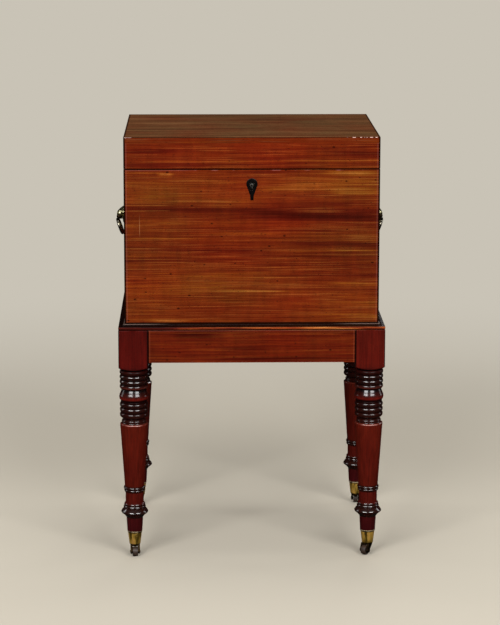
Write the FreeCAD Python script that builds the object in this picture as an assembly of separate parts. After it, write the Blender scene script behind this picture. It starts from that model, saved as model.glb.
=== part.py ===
import FreeCAD, Part
import math
import os

# A cellarette: a lined and divided bottle case with a hinged, locking lid, standing loose
# inside the moulding of a stand on four turned legs with castors.
# Millimetres. +X is right, -Y is the front, +Z is up; the origin is on the floor below the centre.

# ---- case and lid -------------------------------------------------------------------
case_width = 440.0
case_depth = 330.0
case_height = 280.0
lid_height = 55.0
wall = 12.0
bottom_board = 12.0
top_board = 10.0
corner_lap = 4.0            # front and back boards cover the ends of the side boards
seam_gap = 0.3              # between the lid's rim and the case's rim
seam_chamfer = 0.9
edge_round = 1.1
lead_sheet = 1.8
lead_below_rim = 6.0
divider_height = 170.0
divider_thick = 6.0
cells_across = 4
cells_deep = 3

# ---- stand --------------------------------------------------------------------------
stand_height = 410.0        # floor to the top of the rails
moulding_width = 10.5
moulding_height = 10.0
nose_setback = 0.9          # flats above and below the moulding's nose bead
nose_foot = 1.0
nose_height = 4.2
hollow_start = 1.7          # inner edge of the flat above the nose
hollow_sag = 1.1
fillet_width = 1.5
fillet_height = 0.7
case_play = 0.5             # case to moulding
block_side = 51.0
block_height = 71.5
block_dome = 7.0            # rise of the rounded shoulder at the block's corners
rail_height = 57.0
rail_thick = 20.0
rail_setback = 1.5
tenon_thick = 8.0
tenon_long = 25.0
tenon_shoulder = 6.0
joint_play = 0.1
cut_over = 1.0              # how far a cutting shape runs past the face that it cuts

# ---- turned leg ---------------------------------------------------------------------
ring_radius = 24.6
ring_depth = 3.2
neck_height = 1.8
upper_rings = 4
upper_ring_pitch = 8.6
torus_height = 21.0
torus_flare = 2.8           # how far the torus's neck stands in from the rings
torus_belly = 0.8           # how far its belly stands out past them
torus_quirk = 1.2
torus_bead_height = 2.45    # the thin bead under it
torus_bead_radius = 23.0
lower_rings = 3
lower_ring_pitch = 9.05
cove_height = 4.2
cove_radius = 18.9
small_ring_height = 5.0
small_ring_radius = 21.4
rim_height = 2.2
taper_top_radius = 24.4
taper_foot_radius = 17.0
ankle_bead_height = 5.0
ankle_bead_radius = 19.0
ankle_bead_step = 0.8       # the second bead of the pair is this much smaller
ankle_radius = 15.9
ankle_height = 19.5
collar_bead_height = 4.5
collar_radius = 19.3
collar_step = 1.1
knop_radius = 23.7
knop_height = 17.2
knop_flare_height = 7.4     # from the collar out to the knop's rim
knop_rim = 1.4
knop_foot_radius = 15.2
peg_top_radius = 14.6
peg_foot_radius = 13.2
peg_height = 25.2

# ---- castors ------------------------------------------------------------------------
cup_height = 25.0
cup_top_radius = 12.7
cup_foot_radius = 9.6
cup_wall = 1.5
cup_floor = 4.0
cup_lip = 0.5               # how far the cup's top bead stands out
cup_lip_height = 2.2
seat_play = 0.1             # leg's spigot inside the cup
nail_radius = 0.8
nail_head_radius = 1.7
nail_head_height = 0.9
nail_sunk = 0.25
nail_length = 6.0
nail_below_lip = 4.0
nail_bearing = 20.0         # degrees round the cup from straight ahead
wheel_radius = 8.5
wheel_width = 8.6
wheel_headroom = 0.6
wheel_side_gap = 0.3
tread_crown = 0.7
hub_wall = 1.6
hub_dish = 0.6
rim_wall = 0.6
swivel_gap = 0.3
crown_radius = 8.2
crown_thick = 2.6
arm_thick = 3.6
castor_trail = 8.0
axle_radius = 1.6
axle_boss = 4.2
fork_back = 4.5             # fork arm behind the pintle
arm_slant = 2.0
rivet_head = 0.7
rivet_radius = 2.4
pintle_radius = 2.5
pintle_head_radius = 3.8
pintle_head_height = 2.0
run_clearance = 0.08        # radial, in every turning fit
head_room = 0.6
# The way each castor happens to trail, as a bearing about Z from the front (-Y).
castor_bearing = {"front_left": 4.0, "front_right": -36.0, "rear_left": -20.0, "rear_right": 176.0}

# ---- lid hinges ---------------------------------------------------------------------
hinge_length = 50.0
hinge_inset = 90.0          # hinge's middle from the end of the case
hinge_reach = 11.0          # leaf, from the case's back face inwards
hinge_leaf = 1.8
hinge_pin_out = 2.0         # pin axis behind the case's back face
barrel_radius = 3.4
barrel_clearance = 0.3
hinge_pin_radius = 1.3
knuckles = 5
knuckle_gap = 0.2
screws_per_leaf = 3
screw_pitch = 16.0
screw_head_radius = 3.0
screw_shank_radius = 1.5
screw_length = 13.0
screw_slot = 0.7
screw_slot_depth = 0.8
screw_slot_turn = 25.0      # degrees that the slots happen to point away from the leaf

# ---- lock and escutcheon ------------------------------------------------------------
lock_width = 60.0
lock_height = 40.0
lock_thick = 8.0
lock_plate = 1.5            # front and back plates of the lock
lock_inset = 0.5            # lock's back plate, in from the wall's inner face
selvedge_width = 70.0
selvedge_thick = 2.0
hook_places = (-6.0, 24.0)
hook_shank = 3.0
hook_toe = 5.5
hook_toe_height = 3.0
hook_thick = 2.4
hook_drop = 12.0            # bottom of the hooks below the case's rim
slot_clearance = 0.8
lock_screw_shank = 0.75     # radii
lock_screw_head = 1.5
lock_screw_length = 9.0
lock_screw_slot = 0.4
link_plate_length = 60.0
link_plate_thick = 1.6
link_screw_places = (-21.0, 8.5)
bolt_tip_height = 4.0
bolt_post = 4.0
bolt_bar_height = 5.0
bolt_side_gap = 0.3
bolt_gap = 0.6              # bolt to hook, unlocked and above the toe
bolt_travel = 5.6
keyhole_drop = 26.0         # keyhole's centre below the case's rim
keyhole_radius = 4.2
keyhole_slot_width = 3.4
keyhole_slot_drop = 11.0
keyhole_step = 0.25         # the keyhole narrows this much from wood to plate, and again to the lock
drill_pin_radius = 1.6
scutcheon_radius = 9.7
scutcheon_lean = 15.0       # degrees below its centre where the round head turns straight
scutcheon_rise = 0.5        # centre of its round head above the keyhole's centre
scutcheon_neck_drop = 19.5
scutcheon_neck_width = 6.2
scutcheon_drop = 28.0
scutcheon_foot_width = 5.0
scutcheon_thick = 2.0
scutcheon_proud = 0.4

# ---- side handles -------------------------------------------------------------------
handle_height = 172.5       # pivot above the case's bottom
rose_radius = 23.0
rose_edge = 1.8
rose_bead = 4.0
bead_width = 4.6
rose_valley = 2.6
dome_radius = 16.0
stud_radius = 3.0
stud_length = 9.0
dome_height = 8.6
pivot_out = 13.5            # pivot axis off the case's side
ear_radius = 4.8
ear_web_half = 4.0
ear_thick = 3.0
ear_gap = 0.3
crest_brow = 16.4           # crest above the ring's pin: how far it stands out, and how high its
crest_brow_rise = 8.0       # brow, its lip and its top lie above the pin
crest_lip = 15.0
crest_lip_rise = 5.2
crest_root_rise = 3.5
crest_top = 8.0
crest_top_rise = 17.0
knuckle_half = 3.7
knuckle_radius = 4.4
handle_pin_radius = 1.5
handle_pin_cap = 4.7
ring_mean_radius = 13.6
ring_section = 3.0
ring_neck_out = 5.6         # ring's top centre, outwards from the pivot
ring_neck_drop = 5.8        # and below it
ring_tilt = 24.3            # lean of the hanging ring towards the case, in degrees

# ---- worked out from the above --------------------------------------------------------
case_base = stand_height
case_rim = case_base + case_height
lid_base = case_rim + seam_gap
lid_top_z = case_rim + lid_height
stand_width = case_width + 2 * (case_play + moulding_width)
stand_depth = case_depth + 2 * (case_play + moulding_width)
leg_x = (stand_width - block_side) / 2
leg_y = (stand_depth - block_side) / 2
block_bottom = stand_height - block_height
cup_bottom = 2 * wheel_radius + wheel_headroom + crown_thick + swivel_gap
cup_top = cup_bottom + cup_height
inner_half_x = case_width / 2 - wall
inner_half_y = case_depth / 2 - wall
floor_z = case_base + bottom_board + lead_sheet
hinge_x = case_width / 2 - hinge_inset
hinge_pin_y = case_depth / 2 + hinge_pin_out
hinge_pin_z = case_rim + seam_gap / 2
lock_back_y = -inner_half_y - lock_inset
lock_front_y = lock_back_y - lock_thick
lock_mid_y = (lock_back_y + lock_front_y) / 2
keyhole_z = case_rim - keyhole_drop
pivot_z = case_base + handle_height

corners = {"front_left": (-1, -1), "front_right": (1, -1),
           "rear_left": (-1, 1), "rear_right": (1, 1)}
sides = ("front", "right", "rear", "left")     # each a quarter turn on from the one before


# ---- small helpers --------------------------------------------------------------------
def vec(x, y, z):
    return FreeCAD.Vector(x, y, z)


def box(x0, x1, y0, y1, z0, z1):
    return Part.makeBox(x1 - x0, y1 - y0, z1 - z0, vec(x0, y0, z0))


def rod(radius, start, end):
    axis = end - start
    return Part.makeCylinder(radius, axis.Length, start, axis)


def moved(shape, x, y, z):
    copy = shape.copy()
    copy.translate(vec(x, y, z))
    return copy


def turned_z(shape, degrees):
    copy = shape.copy()
    copy.rotate(vec(0, 0, 0), vec(0, 0, 1), degrees)
    return copy


def joined(shapes):
    first, *rest = shapes
    return first.fuse(rest).removeSplitter() if rest else first


def plate(points, normal):
    # A flat plate from a closed outline of points, as thick as the normal is long.
    wire = Part.makePolygon(points + [points[0]])
    return Part.Face(wire).extrude(normal)


class Section:
    # Half of a turned section, drawn downwards in the XZ plane with lines and arcs.
    def __init__(self, radius, z):
        self.at = vec(radius, 0, z)
        self.start = self.at
        self.edges = []

    def line(self, radius, z):
        end = vec(radius, 0, z)
        if (end - self.at).Length > 1e-6:
            self.edges.append(Part.makeLine(self.at, end))
        self.at = end

    def arc(self, mid_radius, mid_z, radius, z):
        end = vec(radius, 0, z)
        self.edges.append(Part.Arc(self.at, vec(mid_radius, 0, mid_z), end).toShape())
        self.at = end

    def bead(self, height, belly, foot):
        # A round moulding that swells to belly half way down and ends at foot.
        self.arc(belly, self.at.z - height / 2, foot, self.at.z - height)

    def turned(self):
        # Closes the section on the axis and turns it into a solid.
        self.line(0, self.at.z)
        self.line(0, self.start.z)
        self.line(self.start.x, self.start.z)
        face = Part.Face(Part.Wire(self.edges))
        return face.revolve(vec(0, 0, 0), vec(0, 0, 1), 360)


# ---- stand ----------------------------------------------------------------------------
def tenons(half_span, play):
    # Both tenons of a rail that lies along X, grown by the play on every face but the shoulder.
    low = stand_height - rail_height + tenon_shoulder - play
    high = stand_height - tenon_shoulder + play
    thick = tenon_thick / 2 + play
    reach = half_span + tenon_long + play
    return [box(-reach, -half_span, -thick, thick, low, high),
            box(half_span, reach, -thick, thick, low, high)]


def on_side(shape, name, distance):
    # Puts a piece drawn along X at the given distance from the centre, on the named side.
    return turned_z(moved(shape, 0, -distance, 0), 90 * sides.index(name))


def rail_place(name):
    # Half the clear span between the leg blocks, and the rail's middle plane.
    across = name in ("front", "rear")
    half_span = (stand_width if across else stand_depth) / 2 - block_side
    face = (stand_depth if across else stand_width) / 2
    return half_span, face - rail_setback - rail_thick / 2


def rail(name):
    half_span, distance = rail_place(name)
    body = box(-half_span, half_span, -rail_thick / 2, rail_thick / 2,
               stand_height - rail_height, stand_height)
    return on_side(joined([body] + tenons(half_span, 0.0)), name, distance)


def moulding(name):
    # Nose bead, hollow and top fillet, mitred at both ends.
    across = name in ("front", "rear")
    half_long = (stand_width if across else stand_depth) / 2
    distance = (stand_depth if across else stand_width) / 2
    w, h = moulding_width, moulding_height
    nose_top = nose_foot + nose_height

    def at(inward, up):
        return vec(-half_long, inward, stand_height + up)

    low, high = at(hollow_start, nose_top), at(w - fillet_width, h - fillet_height)
    chord = high - low
    sag = vec(0, chord.z, -chord.y) * (hollow_sag / chord.Length)
    edges = [Part.makeLine(at(w, 0), at(nose_setback, 0)),
             Part.makeLine(at(nose_setback, 0), at(nose_setback, nose_foot)),
             Part.Arc(at(nose_setback, nose_foot), at(0, nose_foot + nose_height / 2),
                      at(nose_setback, nose_top)).toShape(),
             Part.makeLine(at(nose_setback, nose_top), low),
             Part.Arc(low, (low + high) * 0.5 + sag, high).toShape(),
             Part.makeLine(high, at(w - fillet_width, h)),
             Part.makeLine(at(w - fillet_width, h), at(w, h)),
             Part.makeLine(at(w, h), at(w, 0))]
    strip = Part.Face(Part.Wire(edges)).extrude(vec(2 * half_long, 0, 0))
    plan = [vec(-half_long, 0, stand_height), vec(half_long, 0, stand_height),
            vec(half_long - w, w, stand_height), vec(-half_long + w, w, stand_height)]
    return on_side(strip.common(plate(plan, vec(0, 0, h))), name, distance)


def leg_block():
    # Square block whose lower corners are turned away in a dome.
    half = block_side / 2
    corner = half * math.sqrt(2) + cut_over
    dome = Section(corner, stand_height)
    dome.line(corner, block_bottom + block_dome)
    dome.arc((corner + half) / 2, block_bottom + 0.32 * block_dome, ring_radius - ring_depth, block_bottom)
    square = box(-half, half, -half, half, block_bottom, stand_height)
    return square.common(dome.turned())


def leg_turning():
    groove = ring_radius - ring_depth
    s = Section(groove, block_bottom + neck_height)
    s.line(groove, block_bottom - neck_height)
    for _ in range(upper_rings):
        s.bead(upper_ring_pitch, ring_radius, groove)
    # Torus: a short neck, a long flare, a full round belly and a thin bead under it.
    top = s.at.z
    flare = ring_radius - torus_flare
    belly = ring_radius + torus_belly
    s.line(flare - torus_quirk, top)
    s.line(flare - torus_quirk, top - torus_quirk)
    s.line(flare, top - torus_quirk)
    s.arc((flare + belly) / 2, top - 0.30 * torus_height,
          belly - 0.25 * torus_belly, top - 0.52 * torus_height)
    s.arc(belly - 0.75 * torus_belly, top - 0.78 * torus_height, groove, top - torus_height)
    s.bead(torus_bead_height, torus_bead_radius, groove)
    for _ in range(lower_rings):
        s.bead(lower_ring_pitch, ring_radius, groove)
    # Cove, small ring and the sharp rim at the head of the taper.
    s.arc(cove_radius, s.at.z - 0.75 * cove_height, small_ring_radius - ring_depth / 2, s.at.z - cove_height)
    s.bead(small_ring_height, small_ring_radius, small_ring_radius - ring_depth / 4)
    s.arc(small_ring_radius, s.at.z - 0.7 * rim_height, taper_top_radius, s.at.z - rim_height)
    ankle = 2 * ankle_bead_height + ankle_height + 2 * collar_bead_height
    s.line(taper_foot_radius, cup_top + peg_height + knop_height + ankle)
    # Ankle: a pair of beads, a plain cylinder, a stepped collar and the big knop.
    s.bead(ankle_bead_height, ankle_bead_radius, ankle_radius + ankle_bead_step)
    s.bead(ankle_bead_height, ankle_bead_radius - ankle_bead_step, ankle_radius)
    s.line(ankle_radius, s.at.z - ankle_height)
    s.bead(collar_bead_height, collar_radius - collar_step, ankle_radius + collar_step)
    s.bead(collar_bead_height, collar_radius, collar_radius - collar_step)
    # Knop: a hollow flare out to a full rim, and a rounded underside.
    low = s.at.z - knop_height
    s.arc(0.62 * s.at.x + 0.38 * knop_radius, s.at.z - 0.62 * knop_flare_height,
          knop_radius - knop_rim, s.at.z - knop_flare_height + knop_rim)
    s.arc(knop_radius, s.at.z - knop_rim, knop_radius - knop_rim / 2, s.at.z - 2 * knop_rim)
    s.arc(0.45 * knop_radius + 0.55 * knop_foot_radius, 0.45 * s.at.z + 0.55 * low, knop_foot_radius, low)
    s.line(peg_top_radius, s.at.z)
    s.line(peg_foot_radius, cup_top)
    # Spigot that the cup slides over, and the pocket for the castor's riveted head.
    spigot_top = cup_top_radius - cup_wall - seat_play
    spigot_foot = cup_foot_radius + cup_slope() * cup_floor - cup_wall - seat_play
    s.line(spigot_top, cup_top)
    s.line(spigot_foot, cup_bottom + cup_floor + seat_play)
    pocket = pintle_head_radius + head_room
    s.line(pocket, s.at.z)
    s.line(pocket, s.at.z + pintle_head_height + head_room)
    return s.turned()


def cup_slope():
    return (cup_top_radius - cup_foot_radius) / cup_height


def leg(corner):
    # Block and turning in one, morticed for the two rails that meet in it.
    x_side, y_side = corners[corner]
    whole = moved(joined([leg_block(), leg_turning()]), x_side * leg_x, y_side * leg_y, 0)
    for name in sides:
        half_span, distance = rail_place(name)
        for tenon in tenons(half_span, joint_play):
            mortice = on_side(tenon, name, distance)
            if whole.BoundBox.intersect(mortice.BoundBox):
                whole = whole.cut(mortice)
    return whole.cut(nail(corner, joint_play))


# ---- castors --------------------------------------------------------------------------
def castor_cup(corner):
    s = Section(cup_top_radius - cup_wall, cup_top)
    s.line(cup_top_radius, cup_top)
    s.bead(cup_lip_height, cup_top_radius + cup_lip, cup_top_radius - cup_slope() * cup_lip_height)
    s.line(cup_foot_radius, cup_bottom)
    s.line(pintle_radius + run_clearance, cup_bottom)
    s.line(pintle_radius + run_clearance, cup_bottom + cup_floor)
    s.line(cup_foot_radius + cup_slope() * cup_floor - cup_wall, cup_bottom + cup_floor)
    s.line(cup_top_radius - cup_wall, cup_top)
    shell = Part.Face(Part.Wire(s.edges)).revolve(vec(0, 0, 0), vec(0, 0, 1), 360)
    return at_corner(shell, corner).cut(nail(corner, joint_play))


def at_corner(shape, corner):
    x_side, y_side = corners[corner]
    return moved(shape, x_side * leg_x, y_side * leg_y, 0)


def nail(corner, play):
    # A round-headed nail driven through the cup into the leg, on its front or back face.
    x_side, y_side = corners[corner]
    height = cup_top - cup_lip_height - nail_below_lip
    face = cup_top_radius - cup_slope() * (cup_top - height) - nail_sunk
    s = Section(0, nail_head_height + play)
    s.arc(0.72 * (nail_head_radius + play), 0.68 * nail_head_height + play, nail_head_radius + play, -play)
    s.line(nail_radius + play, -play)
    s.line(nail_radius + play, -nail_length - play)
    pin = s.turned()
    pin.rotate(vec(0, 0, 0), vec(1, 0, 0), 90)
    bearing = nail_bearing * x_side * y_side + (180 if y_side > 0 else 0)
    return at_corner(turned_z(moved(pin, 0, -face, height), bearing), corner)


def castor_frame(shape, corner):
    # Turns a piece drawn trailing to the front by the castor's own bearing, under its leg.
    return at_corner(turned_z(shape, castor_bearing[corner]), corner)


def castor_fork(corner):
    crown_low = cup_bottom - swivel_gap - crown_thick
    crown = rod(crown_radius, vec(0, 0, crown_low), vec(0, 0, crown_low + crown_thick))
    head_low = cup_bottom + cup_floor + joint_play
    pintle = rod(pintle_radius, vec(0, 0, crown_low), vec(0, 0, head_low))
    head = rod(pintle_head_radius, vec(0, 0, head_low), vec(0, 0, head_low + pintle_head_height - joint_play))
    inner = wheel_width / 2 + wheel_side_gap
    side = [vec(0, fork_back, crown_low + crown_thick), vec(0, -castor_trail, crown_low + crown_thick),
            vec(0, -castor_trail - axle_boss, wheel_radius), vec(0, -castor_trail, wheel_radius - axle_boss),
            vec(0, fork_back - arm_slant, crown_low)]
    arms = []
    for start in (inner, -inner - arm_thick):
        arm = moved(plate(side, vec(arm_thick, 0, 0)), start, 0, 0)
        boss = rod(axle_boss, vec(start, -castor_trail, wheel_radius),
                   vec(start + arm_thick, -castor_trail, wheel_radius))
        arms.append(arm.fuse(boss))
    limit = rod(crown_radius + castor_trail + axle_boss, vec(0, 0, 0), vec(0, 0, crown_low + crown_thick))
    body = joined([crown, pintle, head] + [arm.common(limit) for arm in arms])
    half = inner + arm_thick + cut_over
    bore = rod(axle_radius + joint_play / 2, vec(-half, -castor_trail, wheel_radius),
               vec(half, -castor_trail, wheel_radius))
    return castor_frame(body.cut(bore), corner)


def castor_axle(corner):
    half = wheel_width / 2 + wheel_side_gap + arm_thick
    pin = rod(axle_radius, vec(-half, -castor_trail, wheel_radius), vec(half, -castor_trail, wheel_radius))
    heads = []
    for side in (-1, 1):
        heads.append(rod(rivet_radius, vec(side * half, -castor_trail, wheel_radius),
                         vec(side * (half + rivet_head), -castor_trail, wheel_radius)))
    return castor_frame(joined([pin] + heads), corner)


def castor_wheel(corner):
    # Slightly crowned tread with a dished hub, turned about its own axle.
    half = wheel_width / 2
    bore = axle_radius + run_clearance
    edge = wheel_radius - tread_crown
    s = Section(bore, half)
    s.line(bore + hub_wall, half)
    s.line(bore + hub_wall + hub_dish, half - hub_dish)
    s.line(edge - rim_wall - hub_dish, half - hub_dish)
    s.line(edge - rim_wall, half)
    s.line(edge, half)
    s.arc(wheel_radius, 0, edge, -half)
    s.line(edge - rim_wall, -half)
    s.line(edge - rim_wall - hub_dish, -half + hub_dish)
    s.line(bore + hub_wall + hub_dish, -half + hub_dish)
    s.line(bore + hub_wall, -half)
    s.line(bore, -half)
    s.line(bore, half)
    wheel = Part.Face(Part.Wire(s.edges)).revolve(vec(0, 0, 0), vec(0, 0, 1), 360)
    wheel.rotate(vec(0, 0, 0), vec(0, 1, 0), 90)
    return castor_frame(moved(wheel, 0, -castor_trail, wheel_radius), corner)


# ---- case and lid ---------------------------------------------------------------------
def envelope(low, high, seam_z, top_round):
    # Outer form of the case or the lid: upright edges rounded, the seam edge chamfered.
    block = box(-case_width / 2, case_width / 2, -case_depth / 2, case_depth / 2, low, high)
    upright = [e for e in block.Edges if abs(e.Vertexes[0].Point.z - e.Vertexes[1].Point.z) > 1]
    block = block.makeFillet(edge_round, upright)
    seam = [e for e in block.Edges if all(abs(v.Point.z - seam_z) < 0.01 for v in e.Vertexes)]
    block = block.makeChamfer(seam_chamfer, seam)
    if top_round:
        top = [e for e in block.Edges if all(abs(v.Point.z - high) < 0.01 for v in e.Vertexes)]
        block = block.makeFillet(top_round, top)
    return block


def wall_board(name, low, high):
    # Front and rear boards run full width and are rebated over the ends of the side boards.
    half_x, half_y = case_width / 2, case_depth / 2
    if name in ("left", "right"):
        side = 1 if name == "right" else -1
        end = half_y - corner_lap
        return box(min(side * half_x, side * inner_half_x), max(side * half_x, side * inner_half_x),
                   -end, end, low, high)
    board = box(-half_x, half_x, -half_y, -inner_half_y, low, high)
    for side in (-1, 1):
        x0, x1 = sorted((side * inner_half_x, side * half_x))
        board = board.cut(box(x0, x1, -half_y + corner_lap, -inner_half_y, low, high))
    return board if name == "front" else turned_z(board, 180)


def case_boards():
    form = envelope(case_base, case_rim, case_rim, 0)
    boards = {name: wall_board(name, case_base, case_rim).common(form) for name in sides}
    through = keyhole(-case_depth / 2 - cut_over, lock_front_y + cut_over, 0.0)
    boards["front"] = boards["front"].cut([lock_space(), through, scutcheon_plate(joint_play)]
                                          + lock_screws(joint_play))
    for x in hinge_places():
        boards["rear"] = boards["rear"].cut([moved(leaf_space(lower=True), x, 0, 0)]
                                            + leaf_screws(x, lower=True, play=joint_play))
    for name, side in (("left", -1), ("right", 1)):
        boards[name] = boards[name].cut([rose_stud(side, joint_play)])
    return boards


def bottom_panel():
    return box(-inner_half_x, inner_half_x, -inner_half_y, inner_half_y, case_base, case_base + bottom_board)


def lead_lining():
    # Five sheets: the floor, two long walls and two short ones between them.
    x, y, t = inner_half_x, inner_half_y, lead_sheet
    low, top = floor_z, case_rim - lead_below_rim
    floor = box(-x, x, -y, y, low - t, low)
    front = box(-x, x, -y, -y + t, low, top).cut(lining_notch())
    rear = box(-x, x, y - t, y, low, top)
    left = box(-x, -x + t, -y + t, y - t, low, top)
    right = box(x - t, x, -y + t, y - t, low, top)
    return [floor, front, rear, left, right]


def lining_notch():
    # The front sheet is cut away around the lock.
    margin = 2 * lead_sheet
    half = selvedge_width / 2 + margin
    return box(-half, half, -inner_half_y - cut_over, -inner_half_y + 2 * lead_sheet,
               case_rim - lock_height - margin, case_rim)


def divider_places(count, half):
    # Middle planes of the boards that share a clear width of 2 * half into equal cells.
    cell = (2 * half - (count - 1) * divider_thick) / count
    return [-half + (i + 1) * cell + (i + 0.5) * divider_thick for i in range(count - 1)]


def dividers():
    # Boards halved over each other: the long ones are slotted from above, the cross ones from below.
    half_x = inner_half_x - lead_sheet
    half_y = inner_half_y - lead_sheet
    rows = divider_places(cells_deep, half_y)
    columns = divider_places(cells_across, half_x)
    low, top, middle = floor_z, floor_z + divider_height, floor_z + divider_height / 2
    t = divider_thick / 2
    slot = t + joint_play
    long_boards, cross_boards = [], []
    for y in rows:
        board = box(-half_x + joint_play, half_x - joint_play, y - t, y + t, low, top)
        cuts = [box(x - slot, x + slot, y - slot, y + slot, middle - joint_play, top) for x in columns]
        long_boards.append(board.cut(cuts))
    for x in columns:
        board = box(x - t, x + t, -half_y + joint_play, half_y - joint_play, low, top)
        cuts = [box(x - slot, x + slot, y - slot, y + slot, low, middle + joint_play) for y in rows]
        cross_boards.append(board.cut(cuts))
    return long_boards, cross_boards


def lid_boards():
    form = envelope(lid_base, lid_top_z, lid_base, edge_round / 2)
    shoulder = lid_top_z - top_board
    boards = {name: wall_board(name, lid_base, shoulder).common(form) for name in sides}
    boards["top"] = box(-case_width / 2, case_width / 2, -case_depth / 2, case_depth / 2,
                        shoulder, lid_top_z).common(form)
    boards["front"] = boards["front"].cut([link_space()] + link_screws(joint_play))
    for x in hinge_places():
        boards["rear"] = boards["rear"].cut([moved(leaf_space(lower=False), x, 0, 0)]
                                            + leaf_screws(x, lower=False, play=joint_play))
    return boards


# ---- hinges and screws ----------------------------------------------------------------
def hinge_places():
    return (-hinge_x, hinge_x)


def barrel(x0, x1, radius):
    return rod(radius, vec(x0, hinge_pin_y, hinge_pin_z), vec(x1, hinge_pin_y, hinge_pin_z))


def leaf_levels(lower):
    return (case_rim - hinge_leaf, case_rim) if lower else (lid_base, lid_base + hinge_leaf)


def hinge_leaf_piece(lower):
    # A leaf with its own knuckles, cleared around the other leaf's knuckles.
    z0, z1 = leaf_levels(lower)
    half = hinge_length / 2
    leaf = box(-half, half, case_depth / 2 - hinge_reach, hinge_pin_y, z0, z1)
    pitch = hinge_length / knuckles
    own, other = [], []
    for i in range(knuckles):
        start = -half + i * pitch
        if (i % 2 == 0) == lower:
            own.append(barrel(start + knuckle_gap / 2, start + pitch - knuckle_gap / 2, barrel_radius))
        else:
            other.append(barrel(start - knuckle_gap / 2, start + pitch + knuckle_gap / 2,
                                barrel_radius + barrel_clearance))
    piece = joined([leaf.cut(other)] + own)
    return piece.cut(barrel(-half - cut_over, half + cut_over, hinge_pin_radius + run_clearance))


def leaf_space(lower):
    # The recess that the leaf and barrel are let into.
    z0, z1 = leaf_levels(lower)
    half = hinge_length / 2 + joint_play
    z0, z1 = (z0, z1 + cut_over) if lower else (z0 - cut_over, z1)
    recess = box(-half, half, case_depth / 2 - hinge_reach - joint_play, hinge_pin_y, z0, z1)
    reach = hinge_length / 2 + barrel_clearance
    return joined([recess, barrel(-reach, reach, barrel_radius + barrel_clearance)])


def wood_screw(length, play):
    # Countersunk and slotted, pointing down, its head flush with z = 0.
    cone = screw_head_radius - screw_shank_radius
    head = Part.makeCone(screw_shank_radius + play, screw_head_radius + play, cone, vec(0, 0, -cone))
    shank = rod(screw_shank_radius + play, vec(0, 0, -length + cone), vec(0, 0, -cone))
    tip = Part.makeCone(play, screw_shank_radius + play, cone, vec(0, 0, -length))
    screw = joined([head, shank, tip])
    if play:
        return screw
    slot = box(-screw_head_radius, screw_head_radius, -screw_slot / 2, screw_slot / 2,
               -screw_slot_depth, cut_over)
    return screw.cut(turned_z(slot, screw_slot_turn))


def leaf_screws(x, lower, play=0.0):
    y = (case_depth / 2 - hinge_reach + hinge_pin_y - barrel_radius) / 2
    screws = []
    for i in range(screws_per_leaf):
        screw = wood_screw(screw_length, play)
        if not lower:
            screw.rotate(vec(0, 0, 0), vec(1, 0, 0), 180)
        offset = (i - (screws_per_leaf - 1) / 2) * screw_pitch
        screws.append(moved(screw, x + offset, y, case_rim if lower else lid_base))
    return screws


def hinge_pins():
    half = hinge_length / 2 - knuckle_gap / 2
    return [barrel(x - half, x + half, hinge_pin_radius) for x in hinge_places()]


# ---- lock -----------------------------------------------------------------------------
def hook_slot(x):
    # Opening in the lock's top plate for one hook and its toe.
    half = hook_thick / 2 + slot_clearance
    return box(x - hook_shank / 2 - hook_toe - slot_clearance, x + hook_shank / 2 + slot_clearance,
               lock_mid_y - half, lock_mid_y + half,
               case_rim - selvedge_thick - cut_over, case_rim + cut_over)


def keyhole(y0, y1, shrink):
    round_part = rod(keyhole_radius - shrink, vec(0, y0, keyhole_z), vec(0, y1, keyhole_z))
    half = keyhole_slot_width / 2 - shrink / 2
    drop = keyhole_slot_drop - shrink
    slot = box(-half, half, y0, y1, keyhole_z - drop, keyhole_z)
    return joined([round_part, slot])


def lock_case():
    half = lock_width / 2
    low = case_rim - lock_height
    body = box(-half, half, lock_front_y, lock_back_y, low, case_rim)
    top = box(-selvedge_width / 2, selvedge_width / 2, lock_front_y, lock_back_y,
              case_rim - selvedge_thick, case_rim)
    hollow = box(-half + lock_plate, half - lock_plate, lock_front_y + lock_plate, lock_back_y - lock_plate,
                 low + lock_plate, case_rim - selvedge_thick)
    opening = keyhole(lock_front_y - cut_over, lock_front_y + lock_plate + keyhole_step, 2 * keyhole_step)
    body = joined([body, top]).cut([hollow, opening] + [hook_slot(x) for x in hook_places])
    pin = rod(drill_pin_radius, vec(0, lock_front_y, keyhole_z), vec(0, lock_back_y, keyhole_z))
    return joined([body, pin]).cut(lock_screws(joint_play))


def lock_space():
    # Pocket in the front board, open to the inside, and the recess for the top plate.
    half = lock_width / 2 + joint_play
    inside, above = -inner_half_y + cut_over, case_rim + cut_over
    pocket = box(-half, half, lock_front_y, inside, case_rim - lock_height - joint_play, above)
    wide = selvedge_width / 2 + joint_play
    recess = box(-wide, wide, lock_front_y, inside, case_rim - selvedge_thick, above)
    return joined([pocket, recess])


def lock_screws(play=0.0):
    # Two screws down through the ends of the top plate, beyond the lock's case.
    x = (lock_width + selvedge_width) / 4
    cone = lock_screw_head - lock_screw_shank
    screws = []
    for side in (-1, 1):
        head = Part.makeCone(lock_screw_shank + play, lock_screw_head + play, cone, vec(0, 0, -cone))
        shank = rod(lock_screw_shank + play, vec(0, 0, -lock_screw_length - play), vec(0, 0, -cone))
        screw = joined([head, shank])
        if not play:
            half = lock_screw_slot / 2
            screw = screw.cut(box(-lock_screw_head, lock_screw_head, -half, half, -lock_screw_slot, cut_over))
        screws.append(moved(screw, side * x, lock_mid_y, case_rim))
    return screws


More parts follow.
